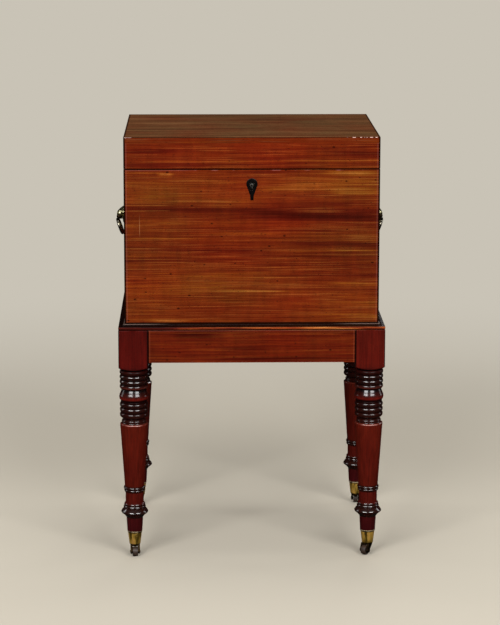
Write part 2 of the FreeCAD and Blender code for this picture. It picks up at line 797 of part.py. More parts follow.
def lock_bolt():
    # A bar with two upright fingers whose tips slide over the toes of the hooks.
    half = lock_thick / 2 - lock_plate - bolt_side_gap
    y0, y1 = lock_mid_y - half, lock_mid_y + half
    toe_top = case_rim - hook_drop + hook_toe_height
    tip_low = toe_top + bolt_gap
    bar_top = case_rim - hook_drop - bolt_gap
    tips, fronts = [], []
    for x in hook_places:
        reach = x - hook_shank / 2 - hook_toe - bolt_gap
        post = reach - bolt_travel - bolt_gap
        tips.append(box(post - bolt_post, reach, y0, y1, tip_low, tip_low + bolt_tip_height))
        tips.append(box(post - bolt_post, post, y0, y1, bar_top, tip_low + bolt_tip_height))
        fronts.append(post)
    bar = box(min(fronts) - bolt_post, max(fronts), y0, y1, bar_top - bolt_bar_height, bar_top)
    return joined([bar] + tips)


def link_space():
    half = link_plate_length / 2 + joint_play
    return box(-half, half, lock_front_y, -inner_half_y + cut_over,
               lid_base - cut_over, lid_base + link_plate_thick)


def link_plate():
    # Plate under the lid's front rim, with two hooks that enter the lock.
    half = link_plate_length / 2
    base = box(-half, half, lock_front_y, lock_back_y, lid_base, lid_base + link_plate_thick)
    hooks = []
    low = case_rim - hook_drop
    t = hook_thick / 2
    for x in hook_places:
        shank = box(x - hook_shank / 2, x + hook_shank / 2, lock_mid_y - t, lock_mid_y + t, low, lid_base)
        toe = box(x - hook_shank / 2 - hook_toe, x, lock_mid_y - t, lock_mid_y + t,
                  low, low + hook_toe_height)
        hooks += [shank, toe]
    return joined([base] + hooks).cut(link_screws(joint_play))


def link_screws(play=0.0):
    screws = []
    for x in link_screw_places:
        screw = wood_screw(screw_length, play)
        screw.rotate(vec(0, 0, 0), vec(1, 0, 0), 180)
        screws.append(moved(screw, x, lock_mid_y, lid_base))
    return screws


def scutcheon_outline(grow):
    # Round head, straight sides to a narrow neck, and a nearly parallel foot.
    head_z = keyhole_z + scutcheon_rise
    r = scutcheon_radius + grow
    neck = scutcheon_neck_width / 2 + grow
    foot = scutcheon_foot_width / 2 + grow
    neck_z = keyhole_z - scutcheon_neck_drop
    foot_z = keyhole_z - scutcheon_drop - grow
    lean = math.radians(scutcheon_lean)
    left = vec(-r * math.cos(lean), 0, head_z - r * math.sin(lean))
    right = vec(-left.x, 0, left.z)
    points = [right, vec(neck, 0, neck_z), vec(foot, 0, foot_z),
              vec(-foot, 0, foot_z), vec(-neck, 0, neck_z), left]
    edges = [Part.Arc(left, vec(0, 0, head_z + r), right).toShape()]
    edges += [Part.makeLine(a, b) for a, b in zip(points, points[1:])]
    return Part.Face(Part.Wire(edges))


def scutcheon_plate(grow):
    # The inlaid plate, or with grow its pocket in the front board.
    face = scutcheon_outline(grow)
    solid = face.extrude(vec(0, scutcheon_thick, 0))
    return moved(solid, 0, -case_depth / 2 - scutcheon_proud, 0)


def escutcheon():
    y = -case_depth / 2 - scutcheon_proud
    return scutcheon_plate(0.0).cut(keyhole(y - cut_over, y + scutcheon_thick + cut_over, keyhole_step))


# ---- side handles ---------------------------------------------------------------------
def on_handle_side(shape, side):
    # From local (u outwards, y, z about the pivot height) to the right or left side.
    placed = moved(shape, case_width / 2, 0, pivot_z)
    return placed if side > 0 else turned_z(placed, 180)


def rose_stud(side, play):
    # A threaded stud behind the rose that holds it in the side board.
    stud = rod(stud_radius + play, vec(-stud_length - play, 0, 0), vec(0, 0, 0))
    return on_handle_side(stud, side)


def crest():
    # Half of a turned boss that rises from the plate over the ears, like a brow over the ring.
    s = Section(0, crest_top_rise + rose_valley)
    s.arc(0.55 * crest_top, crest_top_rise + 0.75 * rose_valley, crest_top, crest_top_rise)
    s.arc(0.90 * crest_brow, (crest_top_rise + crest_brow_rise) / 2, crest_brow, crest_brow_rise)
    s.line(crest_lip, crest_lip_rise)
    s.line(0, crest_root_rise)
    reach = crest_brow + cut_over
    return s.turned().common(box(0, reach, -reach, reach, 0, crest_top_rise + rose_radius))


def handle_rose(side):
    # Turned back plate with a beaded edge and a dome, two ears for the pin and a stud behind.
    s = Section(0, dome_height)
    s.arc(0.62 * dome_radius, 0.80 * dome_height, dome_radius, rose_valley)
    s.line(rose_radius - bead_width, rose_valley)
    s.arc(rose_radius - bead_width / 2, rose_bead, rose_radius, rose_edge)
    s.line(rose_radius, 0)
    disc = s.turned()
    disc.rotate(vec(0, 0, 0), vec(0, 1, 0), 90)
    ears = []
    low = knuckle_half + ear_gap
    for start in (low, -low - ear_thick):
        eye = rod(ear_radius, vec(pivot_out, start, 0), vec(pivot_out, start + ear_thick, 0))
        web = box(rose_valley, pivot_out, start, start + ear_thick, -ear_web_half, crest_brow_rise)
        ears.append(eye.fuse(web))
    body = joined([disc, crest()] + ears)
    hole = pin_hole(joint_play / 2)
    return joined([on_handle_side(body.cut(hole), side), rose_stud(side, 0.0)])


def pin_hole(play):
    return rod(handle_pin_radius + play, vec(pivot_out, -rose_radius, 0), vec(pivot_out, rose_radius, 0))


def handle_pin(side):
    half = knuckle_half + ear_gap + ear_thick
    pin = rod(handle_pin_radius, vec(pivot_out, -half, 0), vec(pivot_out, half, 0))
    caps = []
    for end in (-1, 1):
        ball = Part.makeSphere(handle_pin_cap, vec(pivot_out, end * half, 0))
        y0, y1 = sorted((end * half, end * (half + handle_pin_cap)))
        caps.append(ball.common(box(0, 2 * pivot_out, y0, y1, -handle_pin_cap, handle_pin_cap)))
    return on_handle_side(joined([pin] + caps), side)


def handle_ring(side):
    # A ring with a short neck and the knuckle that turns on the pin; it hangs leaning inwards.
    lean = math.radians(ring_tilt)
    top = vec(pivot_out + ring_neck_out, 0, -ring_neck_drop)
    down = vec(-math.sin(lean), 0, -math.cos(lean))
    centre = top + down * ring_mean_radius
    normal = vec(math.cos(lean), 0, -math.sin(lean))
    ring = Part.makeTorus(ring_mean_radius, ring_section, centre, normal)
    knuckle = rod(knuckle_radius, vec(pivot_out, -knuckle_half, 0), vec(pivot_out, knuckle_half, 0))
    pivot = vec(pivot_out, 0, 0)
    neck = rod(ring_section, pivot, top)
    return on_handle_side(joined([ring, knuckle, neck]).cut(pin_hole(run_clearance)), side)


# ---- files ----------------------------------------------------------------------------
def write(name, solids):
    # One file per node; several solids stay separate in one compound.
    shape = solids[0] if len(solids) == 1 else Part.makeCompound(solids)
    shape.exportStep("parts/" + name + ".step")


def main():
    os.makedirs("parts", exist_ok=True)
    for corner in corners:
        write("leg_" + corner, [leg(corner)])
        write("castor_cup_" + corner, [castor_cup(corner)])
        write("castor_fork_" + corner, [castor_fork(corner)])
        write("castor_axle_" + corner, [castor_axle(corner)])
        write("castor_wheel_" + corner, [castor_wheel(corner)])
    write("castor_cup_nails", [nail(corner, 0.0) for corner in corners])
    for name in sides:
        write("rail_" + name, [rail(name)])
        write("moulding_" + name, [moulding(name)])

    for name, board in case_boards().items():
        write("case_" + name, [board])
    write("case_bottom", [bottom_panel()])
    write("lead_lining", lead_lining())
    long_boards, cross_boards = dividers()
    for name, board in zip(("divider_long_front", "divider_long_rear"), long_boards):
        write(name, [board])
    for place, board in zip(("left", "middle", "right"), cross_boards):
        write("divider_cross_" + place, [board])

    for name, board in lid_boards().items():
        write("lid_" + name, [board])
    for x, side in zip(hinge_places(), ("left", "right")):
        for level, lower in (("lower", True), ("upper", False)):
            leaf = moved(hinge_leaf_piece(lower), x, 0, 0)
            write("hinge_" + level + "_" + side, [leaf.cut(leaf_screws(x, lower, joint_play))])
    write("hinge_pins", hinge_pins() + [handle_pin(-1), handle_pin(1)])
    lower_screws = [screw for x in hinge_places() for screw in leaf_screws(x, lower=True)]
    upper_screws = [screw for x in hinge_places() for screw in leaf_screws(x, lower=False)]
    write("case_screws", lower_screws + lock_screws())
    write("lid_screws", upper_screws + link_screws())

    write("lock_case", [lock_case()])
    write("lock_bolt", [lock_bolt()])
    write("lock_link_plate", [link_plate()])
    write("escutcheon", [escutcheon()])
    for side, name in ((-1, "left"), (1, "right")):
        write("handle_rose_" + name, [handle_rose(side)])
        write("handle_ring_" + name, [handle_ring(side)])


main()
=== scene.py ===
# A mahogany bottle case with a hinged lid, on a stand with turned legs and brass castors.
# Sizes are in millimetres where a name or a comment doesn't say otherwise, and become metres in meshes
# and materials.
import math

import bpy
import numpy as np
from mathutils import Euler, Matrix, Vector


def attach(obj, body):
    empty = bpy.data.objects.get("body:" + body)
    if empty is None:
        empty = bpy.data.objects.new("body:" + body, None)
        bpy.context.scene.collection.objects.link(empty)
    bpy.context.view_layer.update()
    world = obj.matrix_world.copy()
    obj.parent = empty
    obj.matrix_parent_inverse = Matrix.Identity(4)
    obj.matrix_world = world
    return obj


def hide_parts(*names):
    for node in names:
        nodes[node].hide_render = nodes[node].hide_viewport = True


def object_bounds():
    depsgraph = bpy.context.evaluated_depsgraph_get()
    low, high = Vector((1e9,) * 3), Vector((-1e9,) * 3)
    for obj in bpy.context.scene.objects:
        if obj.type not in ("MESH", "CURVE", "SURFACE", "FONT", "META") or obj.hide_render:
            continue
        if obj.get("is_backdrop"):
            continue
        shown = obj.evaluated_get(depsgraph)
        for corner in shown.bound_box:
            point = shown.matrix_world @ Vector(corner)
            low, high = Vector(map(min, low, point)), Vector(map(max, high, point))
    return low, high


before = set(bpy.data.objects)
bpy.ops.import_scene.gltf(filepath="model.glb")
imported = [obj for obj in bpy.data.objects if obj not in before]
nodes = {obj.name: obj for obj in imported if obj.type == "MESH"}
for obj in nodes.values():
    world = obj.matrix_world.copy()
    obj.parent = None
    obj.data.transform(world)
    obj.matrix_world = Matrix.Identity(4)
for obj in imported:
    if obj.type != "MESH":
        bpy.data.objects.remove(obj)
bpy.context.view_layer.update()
corners = {"front_left": (-1, -1), "front_right": (1, -1), "rear_left": (-1, 1), "rear_right": (1, 1)}
print("frame loaded:", len(nodes), "nodes")


def linear(hexText):
    # An sRGB hex colour as linear red, green, blue and alpha.
    srgb = np.array([int(hexText[i:i + 2], 16) for i in (1, 3, 5)]) / 255
    low = srgb / 12.92
    high = ((srgb + 0.055) / 1.055) ** 2.4
    return (*np.where(srgb <= 0.04045, low, high), 1.0)


def addNode(tree, kind, inputs=(), out=0, stops=(), **settings):
    # One shader node with its settings and links. Inputs go in order or by name, each a socket to link or a
    # plain value; stops are a colour ramp's (position, hex colour) pairs; out picks the output handed back.
    node = tree.nodes.new("ShaderNode" + kind)
    for key, value in settings.items():
        setattr(node, key, value)
    if stops:
        elements = node.color_ramp.elements
        while len(elements) < len(stops):
            elements.new(0.5)
        for element, (position, colour) in zip(elements, stops):
            element.position = position
            element.color = linear(colour)
    for key, value in inputs.items() if isinstance(inputs, dict) else enumerate(inputs):
        if isinstance(value, bpy.types.NodeSocket):
            tree.links.new(value, node.inputs[key])
        else:
            node.inputs[key].default_value = value
    return node.outputs if out is None else node.outputs[out]


def newMaterial(name):
    # A material with an empty node tree.
    material = bpy.data.materials.new(name)
    material.use_nodes = True
    tree = material.node_tree
    tree.nodes.clear()
    return material, tree


def fold(tree, operation, values):
    # Takes sockets and plain numbers together two at a time, from the first to the last.
    result = values[0]
    for value in values[1:]:
        result = addNode(tree, "Math", (result, value), operation=operation)
    return result


def product(tree, *values):
    return fold(tree, "MULTIPLY", values)


def total(tree, *values):
    return fold(tree, "ADD", values)


def less(tree, *values):
    # The first value less all the others.
    return fold(tree, "SUBTRACT", values)


def largest(tree, *values):
    return fold(tree, "MAXIMUM", values)


def swing(tree, noise, amount, middle=1.0):
    # A noise from 0 to 1 made to swing round the middle, by half the amount either way.
    return addNode(tree, "Math", (noise, amount, middle - amount / 2), operation="MULTIPLY_ADD")


def apart(tree, value, place=0.0):
    # How far a coordinate is from a place in millimetres, on either side of it.
    return addNode(tree, "Math", (less(tree, value, place / 1000),), operation="ABSOLUTE")


def fade(tree, value, start, end):
    # 0 below start, 1 above end, smooth between; start may be the larger one.
    return addNode(tree, "MapRange", {"Value": value, "From Min": start, "From Max": end}, out="Result",
                   interpolation_type="SMOOTHSTEP")


def fadeAt(tree, value, start, end):
    # The same between two places in millimetres.
    return fade(tree, value, start / 1000, end / 1000)


def strip(tree, value, middle, half):
    # 1 within half of the middle, softly 0 outside; millimetres.
    return fadeAt(tree, apart(tree, value, middle), half * 1.25, half * 0.75)


def layOver(tree, colour, mask, over):
    # Covers a colour with another one, a hex text or a socket, as far as the mask is 1.
    over = linear(over) if isinstance(over, str) else over
    return addNode(tree, "Mix", {0: mask, 6: colour, 7: over}, out=2, data_type="RGBA")


def tint(tree, colour, red, green, blue, share=1.0):
    # Multiplies a colour's red, green and blue, as far as share is 1.
    gain = addNode(tree, "CombineXYZ", (red, green, blue))
    return addNode(tree, "Mix", {0: share, 6: colour, 7: gain}, out=2, data_type="RGBA",
                   blend_type="MULTIPLY")


def surface(name, grid, wrapRows=False, wrapColumns=False, capStart=False, capEnd=False, sharp=40):
    # Puts a rows x columns x 3 array of millimetres into a mesh: quads between neighbours, and a fan
    # round the mean point of the first or last row where that end is capped.
    rows, columns = grid.shape[:2]
    index = np.arange(rows * columns).reshape(rows, columns)
    a = index if wrapRows else index[:-1]
    b = np.roll(index, -1, 0) if wrapRows else index[1:]
    if wrapColumns:
        quads = np.stack([a, np.roll(a, -1, 1), np.roll(b, -1, 1), b], -1)
    else:
        quads = np.stack([a[:, :-1], a[:, 1:], b[:, 1:], b[:, :-1]], -1)
    points = grid.reshape(-1, 3)
    faces = quads.reshape(-1, 4).tolist()
    for wanted, row, flip in ((capStart, index[0], True), (capEnd, index[-1], False)):
        if wanted:
            pole = len(points)
            points = np.vstack([points, points[row].mean(0)])
            nextInRow = np.roll(row, -1)
            fan = np.stack([row, nextInRow, np.full_like(row, pole)], -1)
            faces += (fan[:, ::-1] if flip else fan).tolist()
    return meshObject(name, points, faces, sharp)


def meshObject(name, points, faces, sharp):
    # Smooth faces, with sharp edges where they meet at more than the given angle in degrees.
    mesh = bpy.data.meshes.new(name)
    mesh.from_pydata((np.asarray(points) * 0.001).tolist(), [], faces)
    mesh.update()
    mesh.polygons.foreach_set("use_smooth", np.ones(len(mesh.polygons), bool))
    mesh.set_sharp_from_angle(angle=math.radians(sharp))
    piece = bpy.data.objects.new(name, mesh)
    bpy.context.scene.collection.objects.link(piece)
    return piece


def fit(piece, material, body, slotName, *replaced):
    # Gives a new piece its material and its body, and hides the nodes it stands for.
    # slotName is not used.
    piece.data.materials.clear()
    piece.data.materials.append(material)
    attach(piece, body)
    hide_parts(*replaced)


def dress(material, *names):
    # Gives CAD nodes their material.
    for name in names:
        for slot in nodes[name].material_slots:
            slot.material = material


# Camera, floor and lights. Places and sizes are in metres here, turns in radians and power in watts.
camera = {"place": (-0.0869, -3.8983, 1.2362), "yaw": -0.0222, "pitch": 0.1694, "roll": -0.0011,
          "focalLength": 2204.5, "frameHeight": 625, "shift": -0.144, "sensor": 36, "clip": (0.05, 200)}
stage = {"floorSize": 60.0, "floor": "#b8b1a3", "far": "#c9c3b6", "nearRadius": 0.60, "farRadius": 2.2,
         "glossyFloor": 0.03}
lights = [
    {"name": "keyLeft", "place": (-1.95, -3.65, 2.90), "size": (2.40, 1.20), "power": 171},
    {"name": "keyRight", "place": (2.00, -3.60, 2.85), "size": (2.40, 1.20), "power": 159},
    {"name": "sideLeft", "place": (-2.50, 0.70, 1.10), "size": (0.45, 1.50), "power": 7},
    {"name": "sideRight", "place": (2.50, 0.70, 1.10), "size": (0.45, 1.50), "power": 7},
    {"name": "overhead", "place": (0.0, 0.1, 3.1), "size": (1.40, 1.40), "power": 28},
    {"name": "rear", "place": (0.6, 2.8, 2.2), "size": (1.20, 1.20), "power": 16},
]
lightAim = (0, 0, 0.42)
ambient = {"colour": "#f4f1ea", "strength": 0.26, "glossy": 0.008}


def makeCamera():
    data = bpy.data.cameras.new("camera")
    data.sensor_fit = "AUTO"
    data.sensor_width = camera["sensor"]
    data.lens = camera["focalLength"] / camera["frameHeight"] * camera["sensor"]
    data.shift_y = camera["shift"]
    data.clip_start, data.clip_end = camera["clip"]
    eye = bpy.data.objects.new("camera", data)
    eye.location = camera["place"]
    eye.rotation_euler = Euler((math.pi / 2 - camera["pitch"], camera["roll"], camera["yaw"]), "XYZ")
    bpy.context.scene.collection.objects.link(eye)
    bpy.context.scene.camera = eye


def makeStage():
    # A pale floor that keeps the shadow near the object and is plain and even further out.
    half = stage["floorSize"] / 2 * 1000
    steps = np.linspace(-half, half, 3)
    x, y = np.meshgrid(steps, steps)
    floor = surface("floor", np.stack([x, y, np.zeros_like(x)], -1))
    material, tree = newMaterial("paleFloor")
    coords = addNode(tree, "TexCoord", out="Object")
    flat = addNode(tree, "VectorMath", (coords, (1, 1, 0)), operation="MULTIPLY")
    distance = addNode(tree, "VectorMath", (flat,), out="Value", operation="LENGTH")
    farness = fade(tree, distance, stage["nearRadius"], stage["farRadius"])
    rays = addNode(tree, "LightPath", out=None)
    seen = product(tree, farness, rays["Is Camera Ray"])
    glossy = product(tree, rays["Is Glossy Ray"], 1 - stage["glossyFloor"])
    near = addNode(tree, "BsdfDiffuse", (layOver(tree, linear(stage["floor"]), glossy, "#000000"),))
    far = addNode(tree, "Emission", (linear(stage["far"]), 1.0))
    addNode(tree, "OutputMaterial", (addNode(tree, "MixShader", (seen, near, far)),), out=None)
    floor.data.materials.append(material)
    floor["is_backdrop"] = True


def makeLights():
    # Rectangular lamps that all look at the object's middle, in a soft even world that shines hardly at all
    # in polished pieces.
    for light in lights:
        data = bpy.data.lights.new(light["name"], "AREA")
        data.shape = "RECTANGLE"
        data.size, data.size_y = light["size"]
        data.energy = light["power"]
        lamp = bpy.data.objects.new(light["name"], data)
        lamp.location = light["place"]
        aim = Vector(lightAim) - Vector(light["place"])
        lamp.rotation_euler = aim.to_track_quat("-Z", "Y").to_euler()
        bpy.context.scene.collection.objects.link(lamp)
    world = bpy.data.worlds.new("studio")
    world.use_nodes = True
    bpy.context.scene.world = world
    tree = world.node_tree
    tree.nodes.clear()
    rays = addNode(tree, "LightPath", out=None)
    soft = addNode(tree, "Background", (linear(ambient["colour"]), ambient["strength"]))
    dim = addNode(tree, "Background", (linear(ambient["colour"]), ambient["glossy"]))
    plain = addNode(tree, "Background", (linear(stage["far"]), 1.0))
    inner = addNode(tree, "MixShader", (rays["Is Glossy Ray"], soft, dim))
    outer = addNode(tree, "MixShader", (rays["Is Camera Ray"], inner, plain))
    addNode(tree, "OutputWorld", (outer,), out=None)


makeCamera()
makeStage()
makeLights()
bpy.context.scene.view_settings.view_transform = "Standard"
print("camera, floor and lights are in place")


# Mahogany boards, planed and french-polished: a fine straight figure of gold and red lines, dark pores a few
# millimetres long, and a thin old shellac film that gives the boards a soft sheen.
boardWood = {
    "warp": 0.0012,             # metres that the lines wander
    "fineLine": 2.3, "midLine": 7.5, "broadLine": 34.0,     # spacing of the figure across the grain, mm
    "fineRun": 120.0, "midRun": 300.0, "broadRun": 420.0,   # and along it
    "fineShare": 0.46, "midShare": 0.26, "broadShare": 0.28, "contrast": 1.7,
    "threadLine": 1.3, "threadRun": 170.0,      # thin single lines between the broader ones
    "goldShare": 0.50, "redShare": 0.45,        # how strongly they turn gold or dark red
    "goldFrom": (0.60, 0.70), "redFrom": (0.41, 0.32),      # where in the noise they start
    "goldOn": (0.10, 0.36),                     # gold threads keep off the dark bands
    "crossRun": 13.0, "crossLine": 46.0, "cross": 0.55,     # soft upright shadows across the figure
    "patchRun": 120.0, "patchLine": 60.0, "patch": 0.9,     # slow patches of redder and browner wood
    "patchRed": 0.35,                           # how much of a patch shows in its red
    "poreLine": 0.5, "poreRun": 6.0, "poreFrom": (0.60, 0.72), "poreDepth": 0.45, "poreColour": "#240603",
    "fleckLine": 1.9, "fleckRun": 4.2, "fleckFrom": (0.70, 0.76), "fleckDepth": 0.7,    # broader than pores
    "speckDepth": 0.88, "speckColour": "#260501",           # knots and dents at given places
    "sheenPerMetre": 14.0, "sheenSwing": 0.12,              # the film's uneven gloss
    "relief": 0.10, "reliefDepth": 0.0002,                  # strength, and metres
    "roughness": 0.36, "ior": 1.52, "specular": 0.06,
}
# The top board wears more than the rest and is matt and browner; its shine is left out, and its greyer
# tones are partly a painted sheen of grey light.
topWood = {**boardWood, "specular": 0.0, "roughness": 0.6, "goldShare": 0.25, "contrast": 2.4,
           "midLine": 11.0, "cross": 0.3, "patch": 0.75, "patchRun": 90.0, "patchLine": 60.0}
railWood = {**boardWood, "goldShare": 0.32, "fleckDepth": 0.85}
# Detail, roughness and seed of each noise in the figure.
figureNoise = {"fine": (3.0, 0.6, 3.1), "mid": (3.0, 0.55, 7.7), "broad": (2.0, 0.5, 1.3),
               "thread": (1.0, 0.5, 17.0), "cross": (2.0, 0.5, 41.0), "patch": (2.0, 0.5, 53.0),
               "pore": (1.0, 0.5, 11.0), "fleck": (1.0, 0.5, 29.0)}
# Colours from the darkest line of the figure to the lightest, at their places from 0 to 1.
frontTones = [(0.0, "#340701"), (0.30, "#4b1003"), (0.47, "#591b04"), (0.60, "#642406"), (0.74, "#713409"),
              (1.0, "#8b4d1e")]
sideTones = [(0.0, "#2f0701"), (0.30, "#461003"), (0.47, "#541a04"), (0.60, "#5e2205"), (0.74, "#6a3009"),
             (1.0, "#7f4a17")]
railTones = [(0.0, "#270401"), (0.30, "#3f0902"), (0.47, "#4e1103"), (0.60, "#591804"), (0.74, "#662506"),
             (1.0, "#763c11")]
lidEdgeTones = [(0.0, "#380c05"), (0.22, "#4c1508"), (0.46, "#591e09"), (0.64, "#63280b"), (0.84, "#70350e"),
                (1.0, "#824c1d")]
# The top's greyer tones hold a painted sheen of grey light besides the wood's own fading.
topTonesWithSheen = [(0.0, "#2f190f"), (0.30, "#422617"), (0.47, "#4e301c"), (0.60, "#583721"), (0.74, "#624128"),
            (1.0, "#735536")]
grainTurn = {"x": (0, 0, 0), "y": (0, 0, math.pi / 2), "z": (0, math.pi / 2, 0)}
wanderPerMetre = 7.0
speckFlatness = 0.6


def stretchedNoise(tree, coords, run, line, detail, roughness, seed):
    # Noise drawn out along X: run and line are its feature sizes in millimetres, along and across.
    scaled = addNode(tree, "Mapping", {"Vector": coords, "Location": (seed, seed * 1.7, seed * 0.6),
                                       "Scale": (1000 / run, 1000 / line, 1000 / line)})
    return addNode(tree, "TexNoise", {"Vector": scaled, "Scale": 1.0, "Detail": detail,
                                      "Roughness": roughness})


def bandMask(tree, along, up, band):
    # A soft streak: bell-shaped across a slightly sloping line, faded in and out along it.
    slope = product(tree, along, band.get("slope", 0.0))
    height = less(tree, up, band["at"] / 1000, slope)
    ratio = addNode(tree, "Math", (height, band["width"] / 1000), operation="DIVIDE")
    bell = addNode(tree, "Math", (math.e, product(tree, ratio, ratio, -1.0)), operation="POWER")
    (start, end), soft = band["x"], band["soft"]
    inside = product(tree, fadeAt(tree, along, start - soft, start + soft),
                     fadeAt(tree, along, end + soft, end - soft))
    return product(tree, bell, inside, band["strength"])


def speckMask(tree, axes, specks):
    # Small knots and dents at given places on a long board, each as (x, z, half length), wider than tall.
    tall = addNode(tree, "Math", (axes["Z"], speckFlatness), operation="DIVIDE")
    place = addNode(tree, "CombineXYZ", (axes["X"], tall))
    masks = []
    for x, z, half in specks:
        middle = (x / 1000, z / 1000 / speckFlatness, 0)
        gap = addNode(tree, "VectorMath", (place, middle), out="Value", operation="DISTANCE")
        masks.append(fadeAt(tree, gap, half * 1.5, half * 0.5))
    return largest(tree, *masks)


def woodCoords(tree, grain, warp):
    # Object coordinates turned so that X runs along the grain, without and with a slight wander.
    raw = addNode(tree, "TexCoord", out="Object")
    axes = addNode(tree, "SeparateXYZ", (raw,), out=None)
    turned = addNode(tree, "Mapping", {"Vector": raw, "Rotation": grainTurn[grain]})
    wander = addNode(tree, "TexNoise", {"Vector": turned, "Scale": wanderPerMetre, "Detail": 2.0},
                     out="Color")
    centred = addNode(tree, "VectorMath", (wander, (0.5, 0.5, 0.5)), operation="SUBTRACT")
    shift = addNode(tree, "VectorMath", {0: centred, "Scale": warp * 2}, operation="SCALE")
    return axes, turned, addNode(tree, "VectorMath", (turned, shift), operation="ADD")


def polishedWood(name, tones, grain, wood=boardWood, bands=(), hues=(), specks=(), marks=(), edgeTones=None,
                 offset=0.0):
    # bands darken or lighten the figure. hues are stretches of redder wood, or of golden wood where their
    # strength is negative. marks are (mask function, colour) pairs laid over the figure in turn. edgeTones
    # colour what lies below the lid's top face. offset takes the board from another part of the log.
    material, tree = newMaterial(name)
    axes, turned, coords = woodCoords(tree, grain, wood["warp"])

    def noise(feature):
        detail, roughness, seed = figureNoise[feature]
        return stretchedNoise(tree, coords, wood[feature + "Run"], wood[feature + "Line"], detail, roughness,
                              offset + seed)

    fine = noise("fine")
    figure = total(tree, product(tree, fine, wood["fineShare"]),
                   product(tree, noise("mid"), wood["midShare"]),
                   product(tree, noise("broad"), wood["broadShare"]))
    spread = swing(tree, figure, wood["contrast"], 0.5)
    for band in bands:
        spread = total(tree, spread, bandMask(tree, axes["X"], axes[band.get("axis", "Z")], band))
    colour = addNode(tree, "ValToRGB", (spread,), stops=tones)
    if edgeTones:
        below = fadeAt(tree, axes["Z"], box["top"] - 0.2, box["top"] - 0.6)
        colour = layOver(tree, colour, below, addNode(tree, "ValToRGB", (spread,), stops=edgeTones))
    threads = noise("thread")
    gold = product(tree, fade(tree, threads, *wood["goldFrom"]), fade(tree, spread, *wood["goldOn"]),
                   wood["goldShare"])
    red = product(tree, fade(tree, threads, *wood["redFrom"]), wood["redShare"])
    colour = layOver(tree, colour, gold, tones[-1][1])
    colour = layOver(tree, colour, red, tones[0][1])

    shade = swing(tree, noise("cross"), wood["cross"])
    warmth = swing(tree, noise("patch"), wood["patch"], 0.0)
    for band in hues:
        warmth = total(tree, warmth, bandMask(tree, axes["X"], axes["Z"], band))
    browner = less(tree, shade, warmth)
    redder = total(tree, shade, product(tree, warmth, wood["patchRed"]))
    colour = tint(tree, colour, redder, browner, browner)

    pores = product(tree, fade(tree, noise("pore"), *wood["poreFrom"]), wood["poreDepth"])
    flecks = product(tree, fade(tree, noise("fleck"), *wood["fleckFrom"]), wood["fleckDepth"])
    for mask in (pores, flecks):
        colour = layOver(tree, colour, mask, wood["poreColour"])
    if specks:
        knots = product(tree, speckMask(tree, axes, specks), wood["speckDepth"])
        colour = layOver(tree, colour, knots, wood["speckColour"])
    for mask, markColour in marks:
        colour = layOver(tree, colour, mask(tree, axes), markColour)

    uneven = addNode(tree, "TexNoise", {"Vector": turned, "Scale": wood["sheenPerMetre"], "Detail": 3.0})
    relief = less(tree, product(tree, fine, 0.5), pores)
    bump = addNode(tree, "Bump", {"Strength": wood["relief"], "Distance": wood["reliefDepth"],
                                  "Height": relief})
    shader = addNode(tree, "BsdfPrincipled", {
        "Base Color": colour, "Roughness": swing(tree, uneven, wood["sheenSwing"], wood["roughness"]),
        "IOR": wood["ior"], "Specular IOR Level": wood["specular"], "Normal": bump})
    addNode(tree, "OutputMaterial", (shader,), out=None)
    return material


# The case and lid, the reach and strength of the darkening at their edges: dark lines at the arrises and
# the lap joint, painted shade in the seam under the lid and a painted shadow along the case's foot; and of
# polish rubbed thin.
box = {"halfWidth": 220.0, "halfDepth": 165.0, "foot": 420.0, "seam": 690.15, "top": 745.0, "lap": 4.0}
edgeDarkening = {"arris": 2.9, "topArris": 0.8, "seam": 1.25, "foot": 2.5, "lap": 0.3,
            "strength": 0.95, "rimShare": 0.85, "lapStrength": 0.7}
edgeWear = {"fromArris": 4.6, "arrisHalf": 0.7, "arris": 0.10, "fromSeam": 2.1, "seamHalf": 0.6,
            "dashesPerMetre": 38.0, "dashFrom": (0.50, 0.66), "dashes": 0.30,
            "leftEnd": (-85, -130), "left": 0.16}


def darkEdgesAndGapShade(tree, axes):
    # Dark lines along the upright arrises, the top's corners and the lap joint, painted shade in the seam
    # under the lid, and a painted shadow along the case's foot.
    v = edgeDarkening
    acrossX, acrossY = apart(tree, axes["X"]), apart(tree, axes["Y"])
    nearX = strip(tree, acrossX, box["halfWidth"], v["arris"])
    nearY = strip(tree, acrossY, box["halfDepth"], v["arris"])
    nearTop = strip(tree, axes["Z"], box["top"], v["topArris"])
    seam = strip(tree, axes["Z"], box["seam"], v["seam"])
    foot = strip(tree, axes["Z"], box["foot"], v["foot"])
    rim = product(tree, nearTop, largest(tree, nearX, nearY), v["rimShare"])
    lines = largest(tree, product(tree, nearX, nearY), seam, foot, rim)
    lap = product(tree, strip(tree, acrossY, box["halfDepth"] - box["lap"], v["lap"]), nearX)
    return largest(tree, product(tree, lines, v["strength"]), product(tree, lap, v["lapStrength"]))


# Pale marks on the lid's front top edge, as (middle, half length, strength): partly places where the polish
# has chipped off, partly painted highlights of the edge.
chipsAndGlints = [(-216.5, 1.6, 0.55), (-211.0, 5.0, 0.28), (163.0, 0.9, 0.12), (174.8, 2.6, 0.8), (186.6, 1.6, 0.75),
         (192.6, 1.0, 0.25), (197.0, 1.2, 0.35), (204.4, 2.6, 0.85), (213.0, 1.8, 0.9)]
chipGlintEdge = {"drop": 0.3, "halfHeight": 0.5, "halfDepth": 1.0}


def chippedGlintingArris(tree, axes):
    # The marks' stretches along the edge, cut down to a narrow line on the arris.
    v = chipGlintEdge
    stretches = [product(tree, strip(tree, axes["X"], middle, half), strength)
                 for middle, half, strength in chipsAndGlints]
    up = strip(tree, axes["Z"], box["top"] - v["drop"], v["halfHeight"])
    front = strip(tree, axes["Y"], -box["halfDepth"], v["halfDepth"])
    return product(tree, largest(tree, *stretches), up, front)


